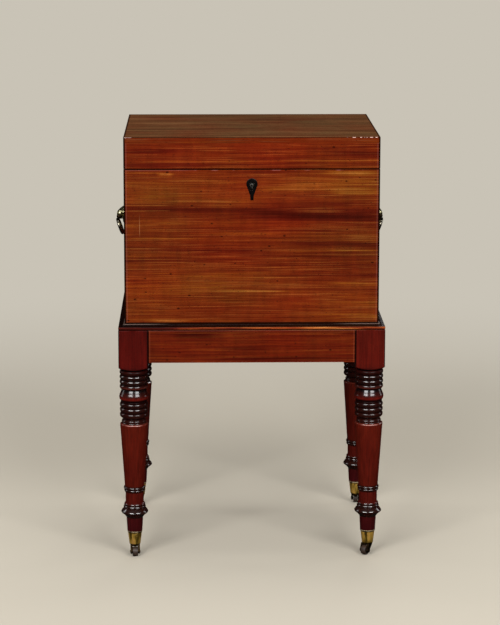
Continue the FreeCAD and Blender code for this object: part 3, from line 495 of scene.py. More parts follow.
def rubbedEdges(tree, axes):
    # Polish rubbed thin beside the upright arrises, and in dashes along the case's rim under the lid.
    v = edgeWear
    beside = strip(tree, apart(tree, axes["X"]), box["halfWidth"] - v["fromArris"], v["arrisHalf"])
    rim = strip(tree, axes["Z"], box["seam"] - v["fromSeam"], v["seamHalf"])
    along = addNode(tree, "CombineXYZ", (axes["X"],))
    noise = addNode(tree, "TexNoise", {"Vector": along, "Scale": v["dashesPerMetre"], "Detail": 3.0})
    dashes = product(tree, fade(tree, noise, *v["dashFrom"]), v["dashes"])
    left = product(tree, fadeAt(tree, axes["X"], *v["leftEnd"]), v["left"])
    return largest(tree, product(tree, beside, v["arris"]), product(tree, rim, largest(tree, dashes, left)))


scratch = {"x": -193.0, "half": 0.45, "foot": (570, 584), "head": (616, 590), "strength": 0.26}


def scratchMark(tree, axes):
    # One faint upright scratch on the front's left part.
    return product(tree, strip(tree, axes["X"], scratch["x"], scratch["half"]), scratch["strength"],
                   fadeAt(tree, axes["Z"], *scratch["foot"]), fadeAt(tree, axes["Z"], *scratch["head"]))


# Streaks of the figure: at is the height of the line, x its stretch, soft how far its ends fade, width how
# far it fades across, slope its rise for each length. A strength below 0 is darker.
frontBands = [
    {"at": 611, "x": (10, 240), "soft": 60, "width": 8.5, "slope": -0.030, "strength": -0.44},
    {"at": 618, "x": (-240, 60), "soft": 60, "width": 5.0, "slope": -0.020, "strength": -0.20},
    {"at": 561, "x": (70, 240), "soft": 40, "width": 4.5, "slope": -0.020, "strength": -0.26},
    {"at": 548, "x": (-190, 20), "soft": 50, "width": 4.5, "slope": -0.020, "strength": -0.18},
    {"at": 585, "x": (-90, 150), "soft": 60, "width": 3.5, "slope": -0.020, "strength": -0.14},
    {"at": 668, "x": (40, 240), "soft": 60, "width": 12.0, "slope": -0.010, "strength": 0.20},
    {"at": 660, "x": (-230, -60), "soft": 60, "width": 20.0, "slope": -0.010, "strength": 0.08},
    {"at": 440, "x": (-240, 240), "soft": 80, "width": 26.0, "strength": 0.09},
    {"at": 721, "x": (150, 240), "soft": 30, "width": 3.6, "slope": -0.02, "strength": -0.30},
    {"at": 722, "x": (-215, -135), "soft": 30, "width": 3.6, "slope": 0.01, "strength": -0.26},
    {"at": 704, "x": (-230, 240), "soft": 40, "width": 0.9, "slope": 0.004, "strength": 0.28},
    {"at": 696.5, "x": (-240, 40), "soft": 50, "width": 2.2, "strength": -0.10},
    {"at": 681, "x": (-160, -136), "soft": 7, "width": 2.2, "strength": 0.42},
    {"at": 684, "x": (-205, -150), "soft": 14, "width": 0.8, "strength": 0.25},
    {"at": 717, "x": (-240, 90), "soft": 60, "width": 26.0, "strength": -0.07},
    {"at": 683, "x": (130, 210), "soft": 25, "width": 3.0, "strength": 0.32},
    {"at": 655, "x": (30, 220), "soft": 50, "width": 1.8, "strength": 0.25},
    {"at": 648, "x": (140, 220), "soft": 25, "width": 3.0, "strength": 0.25},
    {"at": 550, "x": (140, 215), "soft": 30, "width": 1.0, "slope": -0.01, "strength": 0.40},
    {"at": 570, "x": (-215, -100), "soft": 30, "width": 1.2, "strength": 0.30},
    {"at": 492, "x": (130, 220), "soft": 30, "width": 2.0, "slope": -0.01, "strength": 0.25},
    {"at": 477, "x": (-10, 50), "soft": 20, "width": 1.0, "strength": 0.35},
    {"at": 425, "x": (-175, -115), "soft": 20, "width": 4.0, "strength": 0.30},
]
# Knots and dents as (x, height, half length).
frontSpecks = [(-145, 685, 2.6), (-34, 740, 2.2), (140, 728, 2.4), (162, 669, 2.2), (185, 675, 1.6),
               (212, 671, 1.8), (200, 622, 1.6), (164, 585, 1.8), (30, 556, 2.4), (56, 574, 2.4),
               (-52, 573, 1.8), (-69, 596, 2.2), (16, 548, 1.8), (-29, 526, 1.6), (208, 527, 2.6),
               (-87, 652, 1.8), (-103, 627, 2.2), (-82, 524, 1.8), (-140, 508, 2.2), (-184, 500, 1.8),
               (-183, 476, 1.8), (-108, 470, 2.4), (-202, 463, 2.2), (-127, 447, 2.6), (-214, 426, 2.6),
               (44, 495, 1.8), (196, 561, 1.6), (-37, 629, 1.6), (58, 688, 1.6)]
# Redder stretches, and golden ones where the strength is below 0.
frontHues = [
    {"at": 717, "x": (-240, 50), "soft": 60, "width": 26.0, "strength": 0.22},
    {"at": 655, "x": (-100, 0), "soft": 40, "width": 28.0, "strength": 0.20},
    {"at": 660, "x": (130, 240), "soft": 40, "width": 26.0, "strength": -0.28},
    {"at": 600, "x": (-100, 60), "soft": 40, "width": 36.0, "strength": 0.15},
    {"at": 545, "x": (-110, -10), "soft": 40, "width": 30.0, "strength": 0.12},
    {"at": 545, "x": (120, 240), "soft": 40, "width": 34.0, "strength": -0.20},
    {"at": 470, "x": (20, 110), "soft": 40, "width": 34.0, "strength": 0.12},
]
# The near-black edge mark paints shade into the seam and a shadow along the foot, besides dark arris lines.
frontMarks = [(rubbedEdges, "#b0706a"), (darkEdgesAndGapShade, "#0a0201"), (scratchMark, "#c08a5a")]
# Streaks on the top board are placed across its depth.
topBands = [
    {"axis": "Y", "at": -58, "x": (-222, -70), "soft": 25, "width": 3.0, "strength": -0.45},
    {"axis": "Y", "at": 60, "x": (60, 150), "soft": 25, "width": 5.0, "strength": -0.30},
    {"axis": "Y", "at": -157, "x": (-60, 222), "soft": 60, "width": 4.5, "strength": 0.30},
    {"axis": "Y", "at": 20, "x": (-190, -100), "soft": 30, "width": 26.0, "strength": 0.14},
]
railBands = [
    {"at": 401, "x": (-130, -60), "soft": 20, "width": 4.5, "strength": -0.32},
    {"at": 377, "x": (-47, 20), "soft": 20, "width": 3.0, "strength": -0.24},
    {"at": 360, "x": (-50, 200), "soft": 30, "width": 2.2, "strength": -0.18},
    {"at": 403, "x": (20, 160), "soft": 30, "width": 1.2, "strength": 0.22},
]
railSpecks = [(-125, 371, 2.0), (136, 375, 2.2), (-78, 385, 1.6), (77, 363, 1.8), (-147, 358, 1.8)]


def lineMark(axis, place, half, strength):
    # A straight line across a board, the same on both sides of the object's middle.
    def mask(tree, axes):
        return product(tree, strip(tree, apart(tree, axes[axis]), place, half), strength)
    return mask


# Where the rails end at the legs, and lines on them as (millimetres from the end, or height, half width,
# strength).
railEnd = {"X": 180.0, "Y": 125.0}
railLines = {"joint": (0.6, 1.2, 0.9), "edgeGlint": (3.3, 0.5, 0.3), "topEdge": (409.5, 0.5, 0.35)}


def railEnds(axis):
    # Dark polish in the joint between a rail and its legs, and beside it a pale line that is a painted
    # highlight of the edge.
    marks = []
    for kind, colour in (("joint", "#0c0302"), ("edgeGlint", "#8a4a30")):
        inwards, half, strength = railLines[kind]
        marks.append((lineMark(axis, railEnd[axis] - inwards, half, strength), colour))
    return marks


# A pale line along the rails' top edge is a painted highlight.
railTopGlint = (lineMark("Z", *railLines["topEdge"]), "#8a5a50")
woodFront = polishedWood("mahoganyFront", frontTones, "x", bands=frontBands, hues=frontHues,
                         specks=frontSpecks, marks=frontMarks)
# The other boards' edge marks also hold painted shade in the seam and a painted shadow along the foot.
woodSide = polishedWood("mahoganySide", sideTones, "y", marks=[(darkEdgesAndGapShade, "#120302")], offset=4.0)
woodRear = polishedWood("mahoganyRear", sideTones, "x", marks=[(darkEdgesAndGapShade, "#120302")], offset=9.0)
# The top's pale edge marks are partly chipped polish and partly painted highlights.
woodTop = polishedWood("mahoganyLidTop", topTonesWithSheen, "x", wood=topWood, bands=topBands, edgeTones=lidEdgeTones,
                       marks=[(darkEdgesAndGapShade, "#1a0a06"), (chippedGlintingArris, "#e0bdb2")], offset=2.0)
woodRail = polishedWood("mahoganyRail", railTones, "x", wood=railWood, bands=railBands, specks=railSpecks,
                        marks=railEnds("X") + [railTopGlint], offset=14.0)
woodRailSide = polishedWood("mahoganyRailSide", railTones, "y", marks=railEnds("Y"), offset=15.0)
innerWood = polishedWood("waxedInnerWood", sideTones, "x", offset=20.0)
innerWoodCross = polishedWood("waxedCrossWood", sideTones, "y", offset=23.0)
dress(woodFront, "case_front", "lid_front")
dress(woodSide, "case_left", "case_right", "lid_left", "lid_right")
dress(woodRear, "case_rear", "lid_rear")
dress(woodTop, "lid_top")
dress(woodRail, "rail_front", "rail_rear")
dress(woodRailSide, "rail_left", "rail_right")
dress(innerWood, "case_bottom", "divider_long_front", "divider_long_rear")
dress(innerWoodCross, "divider_cross_left", "divider_cross_middle", "divider_cross_right")
print("boards are finished")


# Mahogany turned on a lathe and stained darker than the boards, then polished to a high gloss while turning.
legs = {
    "x": 205.5, "y": 150.5, "top": 410.0, "side": 51.0, "blockBottom": 338.5, "domeRise": 7.0, "arris": 1.1,
    "ring": 24.6, "groove": 21.2, "neck": 1.8,
    "upperRings": 4, "upperPitch": 8.6, "lowerRings": 3, "lowerPitch": 9.05,
    "torus": 21.0, "torusFlare": 3.4, "torusQuirk": 1.2, "fillet": 2.45, "filletRadius": 23.0,
    "cove": 4.2, "coveWaist": 18.9, "coveStep": 1.6, "smallRing": 5.0, "smallRingRadius": 21.4,
    "smallRingStep": 0.8, "rim": 2.2, "rimRadius": 24.4, "rimEdge": 1.0,
    "taperFoot": 17.0, "taperEnd": 126.4, "bead": 4.5, "ankleBead": 19.0, "anklePitch": 5.0, "beadStep": 0.8,
    "ankle": 15.9, "ankleHeight": 19.5, "collar": 19.3, "collarStep": 1.1, "knop": 23.7, "knopHeight": 17.2,
    "knopFlare": 7.4, "knopFoot": 15.2,
    "pegTop": 14.6, "pegFoot": 13.2, "cupTop": 45.5,
    "flatColumns": 15, "cornerColumns": 6, "domeRows": 30, "domePower": 1.6, "shoulderBlend": 0.35,
    "topArris": [0.0, 0.4, 1.5], "topSetback": 0.5, "blockLimit": 60.0,
}


def line(start, height, foot, steps=2):
    # Straight from the start radius and height to the foot radius, height lower.
    t = np.linspace(0, 1, steps + 1)[1:]
    return start[0] + (foot - start[0]) * t, start[1] - height * t


def bead(start, height, belly, foot, steps=18):
    # Half an ellipse that swells from the chord between start and foot out to the belly.
    angle = np.linspace(0, math.pi, steps + 1)[1:]
    t = (1 - np.cos(angle)) / 2
    chord = start[0] + (foot - start[0]) * t
    return chord + (belly - (start[0] + foot) / 2) * np.sin(angle), start[1] - height * t


def knopShape(start):
    # A sloping shoulder out to a full round rim, and a slightly rounded underside: how far out the curve has
    # swelled, at each depth counted in heights of the flare.
    v = legs
    down = np.array([0, 0.20, 0.45, 0.68, 0.84, 1.0, 1.14, 1.28, 1.5, 1.8, 2.05,
                     v["knopHeight"] / v["knopFlare"]])
    out = np.array([0, 0.28, 0.57, 0.81, 0.95, 1.0, 0.95, 0.80, 0.42, -0.02, -0.30, 0])
    height = np.linspace(0, v["knopHeight"], 34)[1:]
    out[-1] = (v["knopFoot"] - start[0]) / (v["knop"] - start[0])
    swell = smoothCurve(height / v["knopFlare"], down, out)
    return start[0] + (v["knop"] - start[0]) * swell, start[1] - height


def smoothCurve(x, xs, ys):
    # A smooth line through the given points, with the slope at each taken from its two neighbours.
    slopes = np.gradient(ys, xs)
    i = np.clip(np.searchsorted(xs, x) - 1, 0, len(xs) - 2)
    step = xs[i + 1] - xs[i]
    t = (x - xs[i]) / step
    return ((2 * t ** 3 - 3 * t ** 2 + 1) * ys[i] + (t ** 3 - 2 * t ** 2 + t) * step * slopes[i]
            + (3 * t ** 2 - 2 * t ** 3) * ys[i + 1] + (t ** 3 - t ** 2) * step * slopes[i + 1])


def turningProfile():
    # Radii and heights down the turned part, from the neck under the block to the brass cup.
    v = legs
    radius, height = [v["groove"]], [v["blockBottom"]]

    def add(shape):
        radius.extend(shape[0])
        height.extend(shape[1])

    def here():
        return radius[-1], height[-1]

    add(line(here(), v["neck"], v["groove"]))
    for _ in range(v["upperRings"]):
        add(bead(here(), v["upperPitch"], v["ring"], v["groove"]))
    neck = v["ring"] - v["torusFlare"] - v["torusQuirk"]
    flare = v["ring"] - v["torusFlare"]
    add(line(here(), 0.0, neck))
    add(line(here(), v["torusQuirk"], neck))
    add(line(here(), 0.0, flare))
    low = here()[1] - v["torus"] + v["torusQuirk"]
    # The round swelling: how far out it stands at each share of its height, counted from the top.
    fall = np.array([0, 0.15, 0.30, 0.45, 0.52, 0.62, 0.74, 0.85, 0.93, 1.0])
    out = np.array([0, 1.25, 2.35, 3.6, 4.0, 4.25, 4.1, 3.4, 2.2, 0.2])
    t = np.linspace(0, 1, 31)[1:]
    add((flare + smoothCurve(t, fall, out), here()[1] + (low - here()[1]) * t))
    add(line(here(), 0.0, v["groove"]))
    add(bead(here(), v["fillet"], v["filletRadius"], v["groove"], 8))
    for _ in range(v["lowerRings"]):
        add(bead(here(), v["lowerPitch"], v["ring"], v["groove"]))
    add(bead(here(), v["cove"], v["coveWaist"], v["smallRingRadius"] - v["coveStep"], 10))
    add(bead(here(), v["smallRing"], v["smallRingRadius"], v["smallRingRadius"] - v["smallRingStep"], 14))
    t = np.linspace(0, 1, 8)[1:]
    lift = v["rimRadius"] - v["rimEdge"] - here()[0]
    add((here()[0] + lift * t ** 2, here()[1] - v["rim"] * t))
    t = np.linspace(0, math.pi / 2, 7)[1:]
    edge = here()
    add((edge[0] + v["rimEdge"] * np.sin(t), edge[1] - v["rimEdge"] * (1 - np.cos(t))))
    add(line(here(), here()[1] - v["taperEnd"], v["taperFoot"], 24))
    add(bead(here(), v["anklePitch"], v["ankleBead"], v["ankle"] + v["beadStep"], 12))
    add(bead(here(), v["anklePitch"], v["ankleBead"] - v["beadStep"], v["ankle"], 12))
    add(line(here(), v["ankleHeight"], v["ankle"], 5))
    add(bead(here(), v["bead"], v["collar"] - v["collarStep"], v["ankle"] + v["collarStep"], 12))
    add(bead(here(), v["bead"], v["collar"], v["collar"] - v["collarStep"], 12))
    add(knopShape(here()))
    add(line(here(), 0.0, v["pegTop"]))
    add(line(here(), here()[1] - v["cupTop"], v["pegFoot"], 8))
    return np.array(radius), np.array(height)


def squareOutline():
    # Points round a square with rounded corners, evenly spread over flats and corners.
    half, r = legs["side"] / 2, legs["arris"]
    flat = np.linspace(-(half - r), half - r, legs["flatColumns"] + 1)[:-1]
    turn = np.linspace(0, math.pi / 2, legs["cornerColumns"] + 1)[:-1]
    xs = np.concatenate([np.full_like(flat, half), half - r + r * np.cos(turn)])
    ys = np.concatenate([flat, half - r + r * np.sin(turn)])
    quarter = xs + 1j * ys
    whole = np.concatenate([quarter * 1j ** k for k in range(4)])
    return np.abs(whole), np.angle(whole)


def makeLeg(corner):
    # One surface: in each direction the radius is the smaller of the square block's and the turned
    # shoulder's, and below the block it is the turning's.
    squareRadius, angle = squareOutline()
    v = legs
    beyond = v["side"] / 2 * math.sqrt(2) + 1
    t = np.linspace(0, 1, v["domeRows"])
    domeZ = v["blockBottom"] + v["domeRise"] * (1 - t) ** v["domePower"]
    domeRadius = beyond + (v["groove"] - beyond) * t
    blockZ = np.concatenate([v["top"] - np.array(v["topArris"]), np.linspace(v["top"] - 4, domeZ[0] + 1, 8)])
    limit = np.concatenate([np.full_like(blockZ, v["blockLimit"]), domeRadius])
    gap = squareRadius[None, :] - limit[:, None]
    soft = np.sqrt(gap ** 2 + v["shoulderBlend"] ** 2)
    radii = (squareRadius[None, :] + limit[:, None] - soft) / 2
    radii[0] -= v["topSetback"]
    radii[-1] = v["groove"]
    turnRadius, turnZ = turningProfile()
    zs = np.concatenate([blockZ, domeZ, turnZ])
    radii = np.vstack([radii, np.repeat(turnRadius[:, None], len(angle), 1)])
    xSide, ySide = corners[corner]
    grid = np.stack([xSide * v["x"] + radii * np.cos(angle), ySide * v["y"] + radii * np.sin(angle),
                     np.repeat(zs[:, None], len(angle), 1)], -1)
    return surface("turnedLeg_" + corner, grid[::-1], wrapColumns=True, capStart=True, capEnd=True, sharp=50)


# Heights at which the stain's depth changes, as (millimetres above the floor, colour); the paler bands at
# 239.2 to 240.3 and 305.6 to 306.8 are painted highlights on the rim above the taper and on the lowest upper
# ring.
legTonesAndGlints = [
    (45.5, "#300508"), (70.0, "#320607"), (70.8, "#1a0603"), (95.0, "#220803"), (96.0, "#3e0a05"),
    (116.0, "#420b05"), (117.5, "#1e0603"), (126.4, "#1e0603"), (128.0, "#430c04"), (150.0, "#450c05"),
    (238.6, "#4a0f05"), (239.2, "#5e2218"), (240.3, "#5e2218"), (240.7, "#240804"), (281.2, "#1c0503"),
    (284.0, "#220504"), (286.6, "#540e07"), (289.5, "#3e0b06"), (293.0, "#2a0804"), (304.4, "#1c0503"),
    (305.6, "#441610"), (306.8, "#441610"), (308.0, "#1c0503"), (330.0, "#1c0503"), (338.0, "#280604"),
    (344.0, "#460b05"), (352.0, "#4a0c05"), (410.0, "#460c05"),
]
legPolish = {
    "warp": 0.0006, "run": 60.0, "line": 2.4, "contrast": 1.5,
    "poreRun": 5.0, "poreLine": 0.5, "poreFrom": (0.60, 0.72), "poreDepth": 0.5, "wax": "#0c0303",
    "mottleRun": 34.0, "mottleLine": 13.0, "mottle": 0.9,
    "leftBlocks": (0.81, 0.60, 0.80), "blocksFrom": (338, 342),     # the left legs' blocks are stained deeper
    "groove": (23.6, 21.6), "groovesFrom": (248, 252),              # radii where old wax fills the grooves
    # A painted highlight on the rim above the taper, facing outward: height, half height, reach, share,
    # colour.
    "glintRim": 239.8, "glintHalf": 0.5, "glintFront": (17.5, 22.5), "glintShare": 0.7, "glintColour": "#c08a80",
    "arris": (23.8, 24.6), "arrisesFrom": (340, 343),
    "roughness": 0.40, "ior": 1.52, "specular": 0.06,
    "thinCoat": 0.03, "coatRoughness": 0.16, "coatIor": 1.78,
}
# Where the gloss lies: the middle and half height of each stretch of turning, and how full its polish is.
glossBands = [(83.5, 13.0, 1.0), (121.6, 5.2, 0.9), (240.6, 1.6, 1.0), (244.9, 2.6, 0.40), (256.0, 4.6, 0.32),
              (265.2, 4.6, 0.70), (274.3, 4.6, 0.48), (290.8, 2.2, 0.62), (297.6, 4.4, 0.34),
              (306.6, 4.3, 0.55), (319.3, 8.7, 0.80)]


def legWood():
    # Stain by height with painted highlights on the rim and one ring, deeper in the grooves of the turning,
    # with an upright straight grain and a full gloss.
    v, leg = legPolish, legs
    material, tree = newMaterial("turnedMahogany")
    axes, _, coords = woodCoords(tree, "z", v["warp"])
    grain = stretchedNoise(tree, coords, v["run"], v["line"], 3.0, 0.6, 31.0)
    pores = stretchedNoise(tree, coords, v["poreRun"], v["poreLine"], 1.0, 0.5, 37.0)
    mottle = stretchedNoise(tree, coords, v["mottleRun"], v["mottleLine"], 2.0, 0.5, 47.0)
    level = addNode(tree, "Math", (axes["Z"], leg["top"] / 1000), operation="DIVIDE")
    colour = addNode(tree, "ValToRGB", (level,), stops=[(z / leg["top"], tone) for z, tone in legTonesAndGlints])
    light = swing(tree, grain, v["contrast"])
    colour = tint(tree, colour, light, light, light)
    browner = swing(tree, mottle, v["mottle"])
    colour = tint(tree, colour, swing(tree, mottle, v["mottle"] / 2), browner, browner)
    deeper = product(tree, fadeAt(tree, axes["X"], 0, -50), fadeAt(tree, axes["Z"], *v["blocksFrom"]))
    colour = tint(tree, colour, *v["leftBlocks"], share=deeper)
    filled = product(tree, fade(tree, pores, *v["poreFrom"]), v["poreDepth"])
    colour = layOver(tree, colour, filled, v["wax"])

    # How far each point is from its leg's middle, outwards and to the front or rear.
    outX = less(tree, apart(tree, axes["X"]), leg["x"] / 1000)
    outY = less(tree, apart(tree, axes["Y"]), leg["y"] / 1000)
    flat = addNode(tree, "CombineXYZ", (outX, outY))
    radius = addNode(tree, "VectorMath", (flat,), out="Value", operation="LENGTH")
    groove = product(tree, fadeAt(tree, radius, *v["groove"]), fadeAt(tree, axes["Z"], *v["groovesFrom"]))
    # A pale pink painted highlight on the outer face of the rim above the taper.
    rim = strip(tree, axes["Z"], v["glintRim"], v["glintHalf"])
    rimGlint = product(tree, rim, fadeAt(tree, outY, *v["glintFront"]), v["glintShare"])
    inner = addNode(tree, "Math", (apart(tree, outX), apart(tree, outY)), operation="MINIMUM")
    arris = product(tree, fadeAt(tree, inner, *v["arris"]), fadeAt(tree, axes["Z"], *v["arrisesFrom"]))
    colour = layOver(tree, colour, groove, v["wax"])
    colour = layOver(tree, colour, rimGlint, v["glintColour"])
    colour = layOver(tree, colour, arris, v["wax"])

    shining = [product(tree, strip(tree, axes["Z"], middle, half), share)
               for middle, half, share in glossBands]
    shader = addNode(tree, "BsdfPrincipled", {
        "Base Color": colour, "Roughness": v["roughness"], "IOR": v["ior"],
        "Specular IOR Level": v["specular"], "Coat Weight": largest(tree, v["thinCoat"], *shining),
        "Coat Roughness": v["coatRoughness"], "Coat IOR": v["coatIor"]})
    addNode(tree, "OutputMaterial", (shader,), out=None)
    return material


turnedWood = legWood()
for corner in corners:
    fit(makeLeg(corner), turnedWood, "stand", "mahogany_stand", "leg_" + corner)
print("legs are turned")


# A scratch-stock moulding in mahogany that holds the case: a bright nose whose brightness is partly a
# painted highlight, a hollow painted near black, and painted shade where the nose meets the rail.
moulding = {"width": 10.5, "height": 10.0, "noseSetback": 0.9, "noseFoot": 1.8, "noseHeight": 4.5,
            "hollowStart": 1.7, "hollowSag": 0.9, "fillet": 1.2, "filletHeight": 0.7, "base": 410.0,
            "halfWidth": 231.0, "halfDepth": 176.0, "steps": 40}
# Heights and places of the painted black and of the fillet's painted highlight, and how strong they are.
mouldingBlackAndGlint = {"hollow": (415.5, 416.1), "foot": 411.3, "footHalf": 1.0, "black": 0.97,
                 "fillet": (418.9, 419.3), "towardsEnd": (135, 190), "towardsCorner": (90, 140), "glint": 0.7}


def mouldingProfile():
    # Closed outline as (inwards, up): half an ellipse for the nose, a shallow arc for the hollow.
    v = moulding
    a = np.linspace(0, math.pi, 15)
    nose = np.stack([v["noseSetback"] * (1 - np.sin(a)),
                     v["noseFoot"] + v["noseHeight"] * (1 - np.cos(a)) / 2], 1)
    t = np.linspace(0, 1, 11)[:, None]
    low = np.array([v["hollowStart"], v["noseFoot"] + v["noseHeight"]])
    high = np.array([v["width"] - v["fillet"], v["height"] - v["filletHeight"]])
    across = np.array([high[1] - low[1], low[0] - high[0]]) / np.linalg.norm(high - low)
    hollow = low + (high - low) * t + across * v["hollowSag"] * 4 * t * (1 - t)
    square = np.array([[v["width"] - v["fillet"], v["height"]], [v["width"], v["height"]], [v["width"], 0.0],
                       [v["noseSetback"], 0.0]])
    return np.vstack([nose, hollow, square])


def makeMoulding(side, quarterTurns, halfLong, distance):
    # The profile carried along one side, each point stopping at the mitre that its depth gives it.
    profile = mouldingProfile()
    t = np.linspace(-1, 1, moulding["steps"] + 1)[:, None]
    along = t * (halfLong - profile[None, :, 0])
    outward = np.broadcast_to(profile[:, 0] - distance, along.shape)
    up = np.broadcast_to(moulding["base"] + profile[:, 1], along.shape)
    turn = (along + 1j * outward) * 1j ** quarterTurns
    grid = np.stack([turn.real, turn.imag, up], -1)
    return surface("moulding" + side, grid, wrapColumns=True, capStart=True, capEnd=True, sharp=35)


def blackHollowAndFootShade(tree, axes):
    # Near black in the hollow up to the fillet, and painted shade at the foot of the nose where it meets the
    # rail.
    v = mouldingBlackAndGlint
    inHollow = fadeAt(tree, axes["Z"], *v["hollow"])
    under = strip(tree, axes["Z"], v["foot"], v["footHalf"])
    return product(tree, largest(tree, inHollow, under), v["black"])


def filletGlint(tree, axes):
    # A painted highlight on the fillet's edge, only near the corners.
    v = mouldingBlackAndGlint
    nearX = fadeAt(tree, apart(tree, axes["X"]), *v["towardsEnd"])
    nearY = fadeAt(tree, apart(tree, axes["Y"]), *v["towardsCorner"])
    return product(tree, fadeAt(tree, axes["Z"], *v["fillet"]), nearX, nearY, v["glint"])


# The brightest tones show on the nose, partly as a painted highlight.
mouldingTones = [(0.0, "#2c0a07"), (0.30, "#48130b"), (0.47, "#662611"), (0.60, "#803814"), (0.74, "#985222"),
                 (1.0, "#b4743a")]
mouldingBands = [{"at": 412, "x": (-260, -150), "soft": 50, "width": 30, "strength": -0.42},
                 {"at": 412, "x": (40, 260), "soft": 60, "width": 30, "strength": 0.20}]
mouldingWood = {**boardWood, "cross": 0.3, "patch": 0.4, "contrast": 2.6, "fineRun": 60.0, "midRun": 90.0,
                "broadRun": 150.0}
# These marks paint the hollow near black, shade at the nose's foot and a highlight on the fillet.
mouldingMarks = [(blackHollowAndFootShade, "#0a0201"), (filletGlint, "#75625a")]
mouldingAlong = polishedWood("mouldingWood", mouldingTones, "x", wood=mouldingWood, bands=mouldingBands,
                             marks=mouldingMarks, offset=41.0)
mouldingAcross = polishedWood("mouldingWoodSide", mouldingTones, "y", wood=mouldingWood, marks=mouldingMarks,
                              offset=43.0)
for quarter, side in enumerate(("front", "right", "rear", "left")):
    halves = [moulding["halfWidth"], moulding["halfDepth"]]
    if quarter % 2:
        halves.reverse()
    wood = mouldingAcross if quarter % 2 else mouldingAlong
    fit(makeMoulding(side, quarter, *halves), wood, "stand", "mahogany_moulding", "moulding_" + side)
print("mouldings are mitred")


# Tarnish and casting grit on every metal: where in the noise the film starts, what it adds to the
# roughness, and the grit, drawn as coarse as it needs to show.
tarnish = {"filmFrom": (0.40, 0.66), "filmRoughness": 0.25, "gritPerMetre": 900.0, "gritDepth": 0.0001}


def agedMetal(name, clean, dirt, roughness, patches, dirtShare, metallic=1.0, streak=1.0, relief=0.1,
              crust=0.0, lines=()):
    # Cast or sheet metal with a film of tarnish in soft patches, so many to the metre. streak draws the
    # patches out upright, and crust is how far the film hides the metal's own shine. lines are bands of
    # another colour, as (height, half height, colour): on the castor cups, painted shade and a paler lip.
    material, tree = newMaterial(name)
    raw = addNode(tree, "TexCoord", out="Object")
    drawn = addNode(tree, "Mapping", {"Vector": raw, "Scale": (1, 1, 1 / streak)})
    stain = addNode(tree, "TexNoise", {"Vector": drawn, "Scale": patches, "Detail": 4.0, "Roughness": 0.6})
    film = product(tree, fade(tree, stain, *tarnish["filmFrom"]), dirtShare)
    colour = layOver(tree, linear(clean), film, dirt)
    for place, half, lineColour in lines:
        level = addNode(tree, "SeparateXYZ", (raw,), out="Z")
        colour = layOver(tree, colour, strip(tree, level, place, half), lineColour)
    grit = addNode(tree, "TexNoise", {"Vector": drawn, "Scale": tarnish["gritPerMetre"], "Detail": 2.0})
    bump = addNode(tree, "Bump", {"Strength": relief, "Distance": tarnish["gritDepth"], "Height": grit})
    sheen = total(tree, roughness, product(tree, film, tarnish["filmRoughness"]))
    shine = less(tree, metallic, product(tree, film, crust))
    shader = addNode(tree, "BsdfPrincipled", {"Base Color": colour, "Roughness": sheen, "Metallic": shine,
                                              "Normal": bump})
    addNode(tree, "OutputMaterial", (shader,), out=None)
    return material


# Cast brass sockets, bright in places under a crust of old polish and dirt.
# Its lines paint a paler band on the lip, and near-black shade under the lip and along the cup's foot.
castorBrass = agedMetal("castorBrass", "#e2b650", "#77501f", 0.34, 120.0, 0.85, streak=4.0, crust=0.9,
                        lines=[(44.4, 1.3, "#8c7c60"), (42.7, 0.6, "#120b05"), (21.4, 0.6, "#120b05")])
# Cast brass that nobody has cleaned, nearly black.
forkBrass = agedMetal("forkBrass", "#3a2d1c", "#150e09", 0.42, 150.0, 0.9)
# Cast and chased brass, pale and greenish under a thin brown film, and its ring rubbed smooth by hands.
handleBrass = agedMetal("handleBrass", "#bcb48a", "#4a4228", 0.26, 160.0, 0.7)
ringBrass = agedMetal("ringBrass", "#8c8676", "#2a241c", 0.15, 120.0, 0.45, relief=0.04)
# Sheet brass, filed and browned.
hingeBrass = agedMetal("hingeBrass", "#b89550", "#5e4522", 0.32, 120.0, 0.6)
# Filed steel with a grey shine, and forged screws gone brown.
lockSteel = agedMetal("lockSteel", "#d2d2cc", "#8a7c6c", 0.24, 140.0, 0.5)
screwSteel = agedMetal("screwSteel", "#77726a", "#3a2c20", 0.38, 200.0, 0.5)
# Rolled lead sheet, soft, grey and dull.
leadSheet = agedMetal("leadSheet", "#6d7075", "#4c4d50", 0.55, 30.0, 0.6, relief=0.4)
# Discs of leather pressed on the axle and worn dark: no metal, and a dull surface.
wheelLeather = agedMetal("castorRoller", "#34251b", "#150d08", 0.52, 160.0, 0.7, metallic=0.0)

for corner in corners:
    dress(forkBrass, "castor_fork_" + corner, "castor_axle_" + corner)
    dress(wheelLeather, "castor_wheel_" + corner)
dress(forkBrass, "castor_cup_nails", "hinge_pins")
dress(hingeBrass, "hinge_lower_left", "hinge_lower_right", "hinge_upper_left", "hinge_upper_right")
dress(lockSteel, "lock_case", "lock_bolt", "lock_link_plate")
dress(screwSteel, "case_screws", "lid_screws")
dress(leadSheet, "lead_lining")


# Castor cups: cast brass sockets, turned bright once and now olive, with a rolled lip and two scribed lines.
cup = {"bottom": 20.5, "top": 45.5, "topRadius": 12.7, "footRadius": 9.6, "wall": 1.5, "floor": 4.0,
       "lip": 0.65, "lipHeight": 2.2, "bodyFrom": 2.4, "footEdge": 0.5, "bore": 2.58,
       "scribes": [4.6, 6.2], "scribeDepth": 0.25, "scribeWidth": 0.28, "columns": 72}


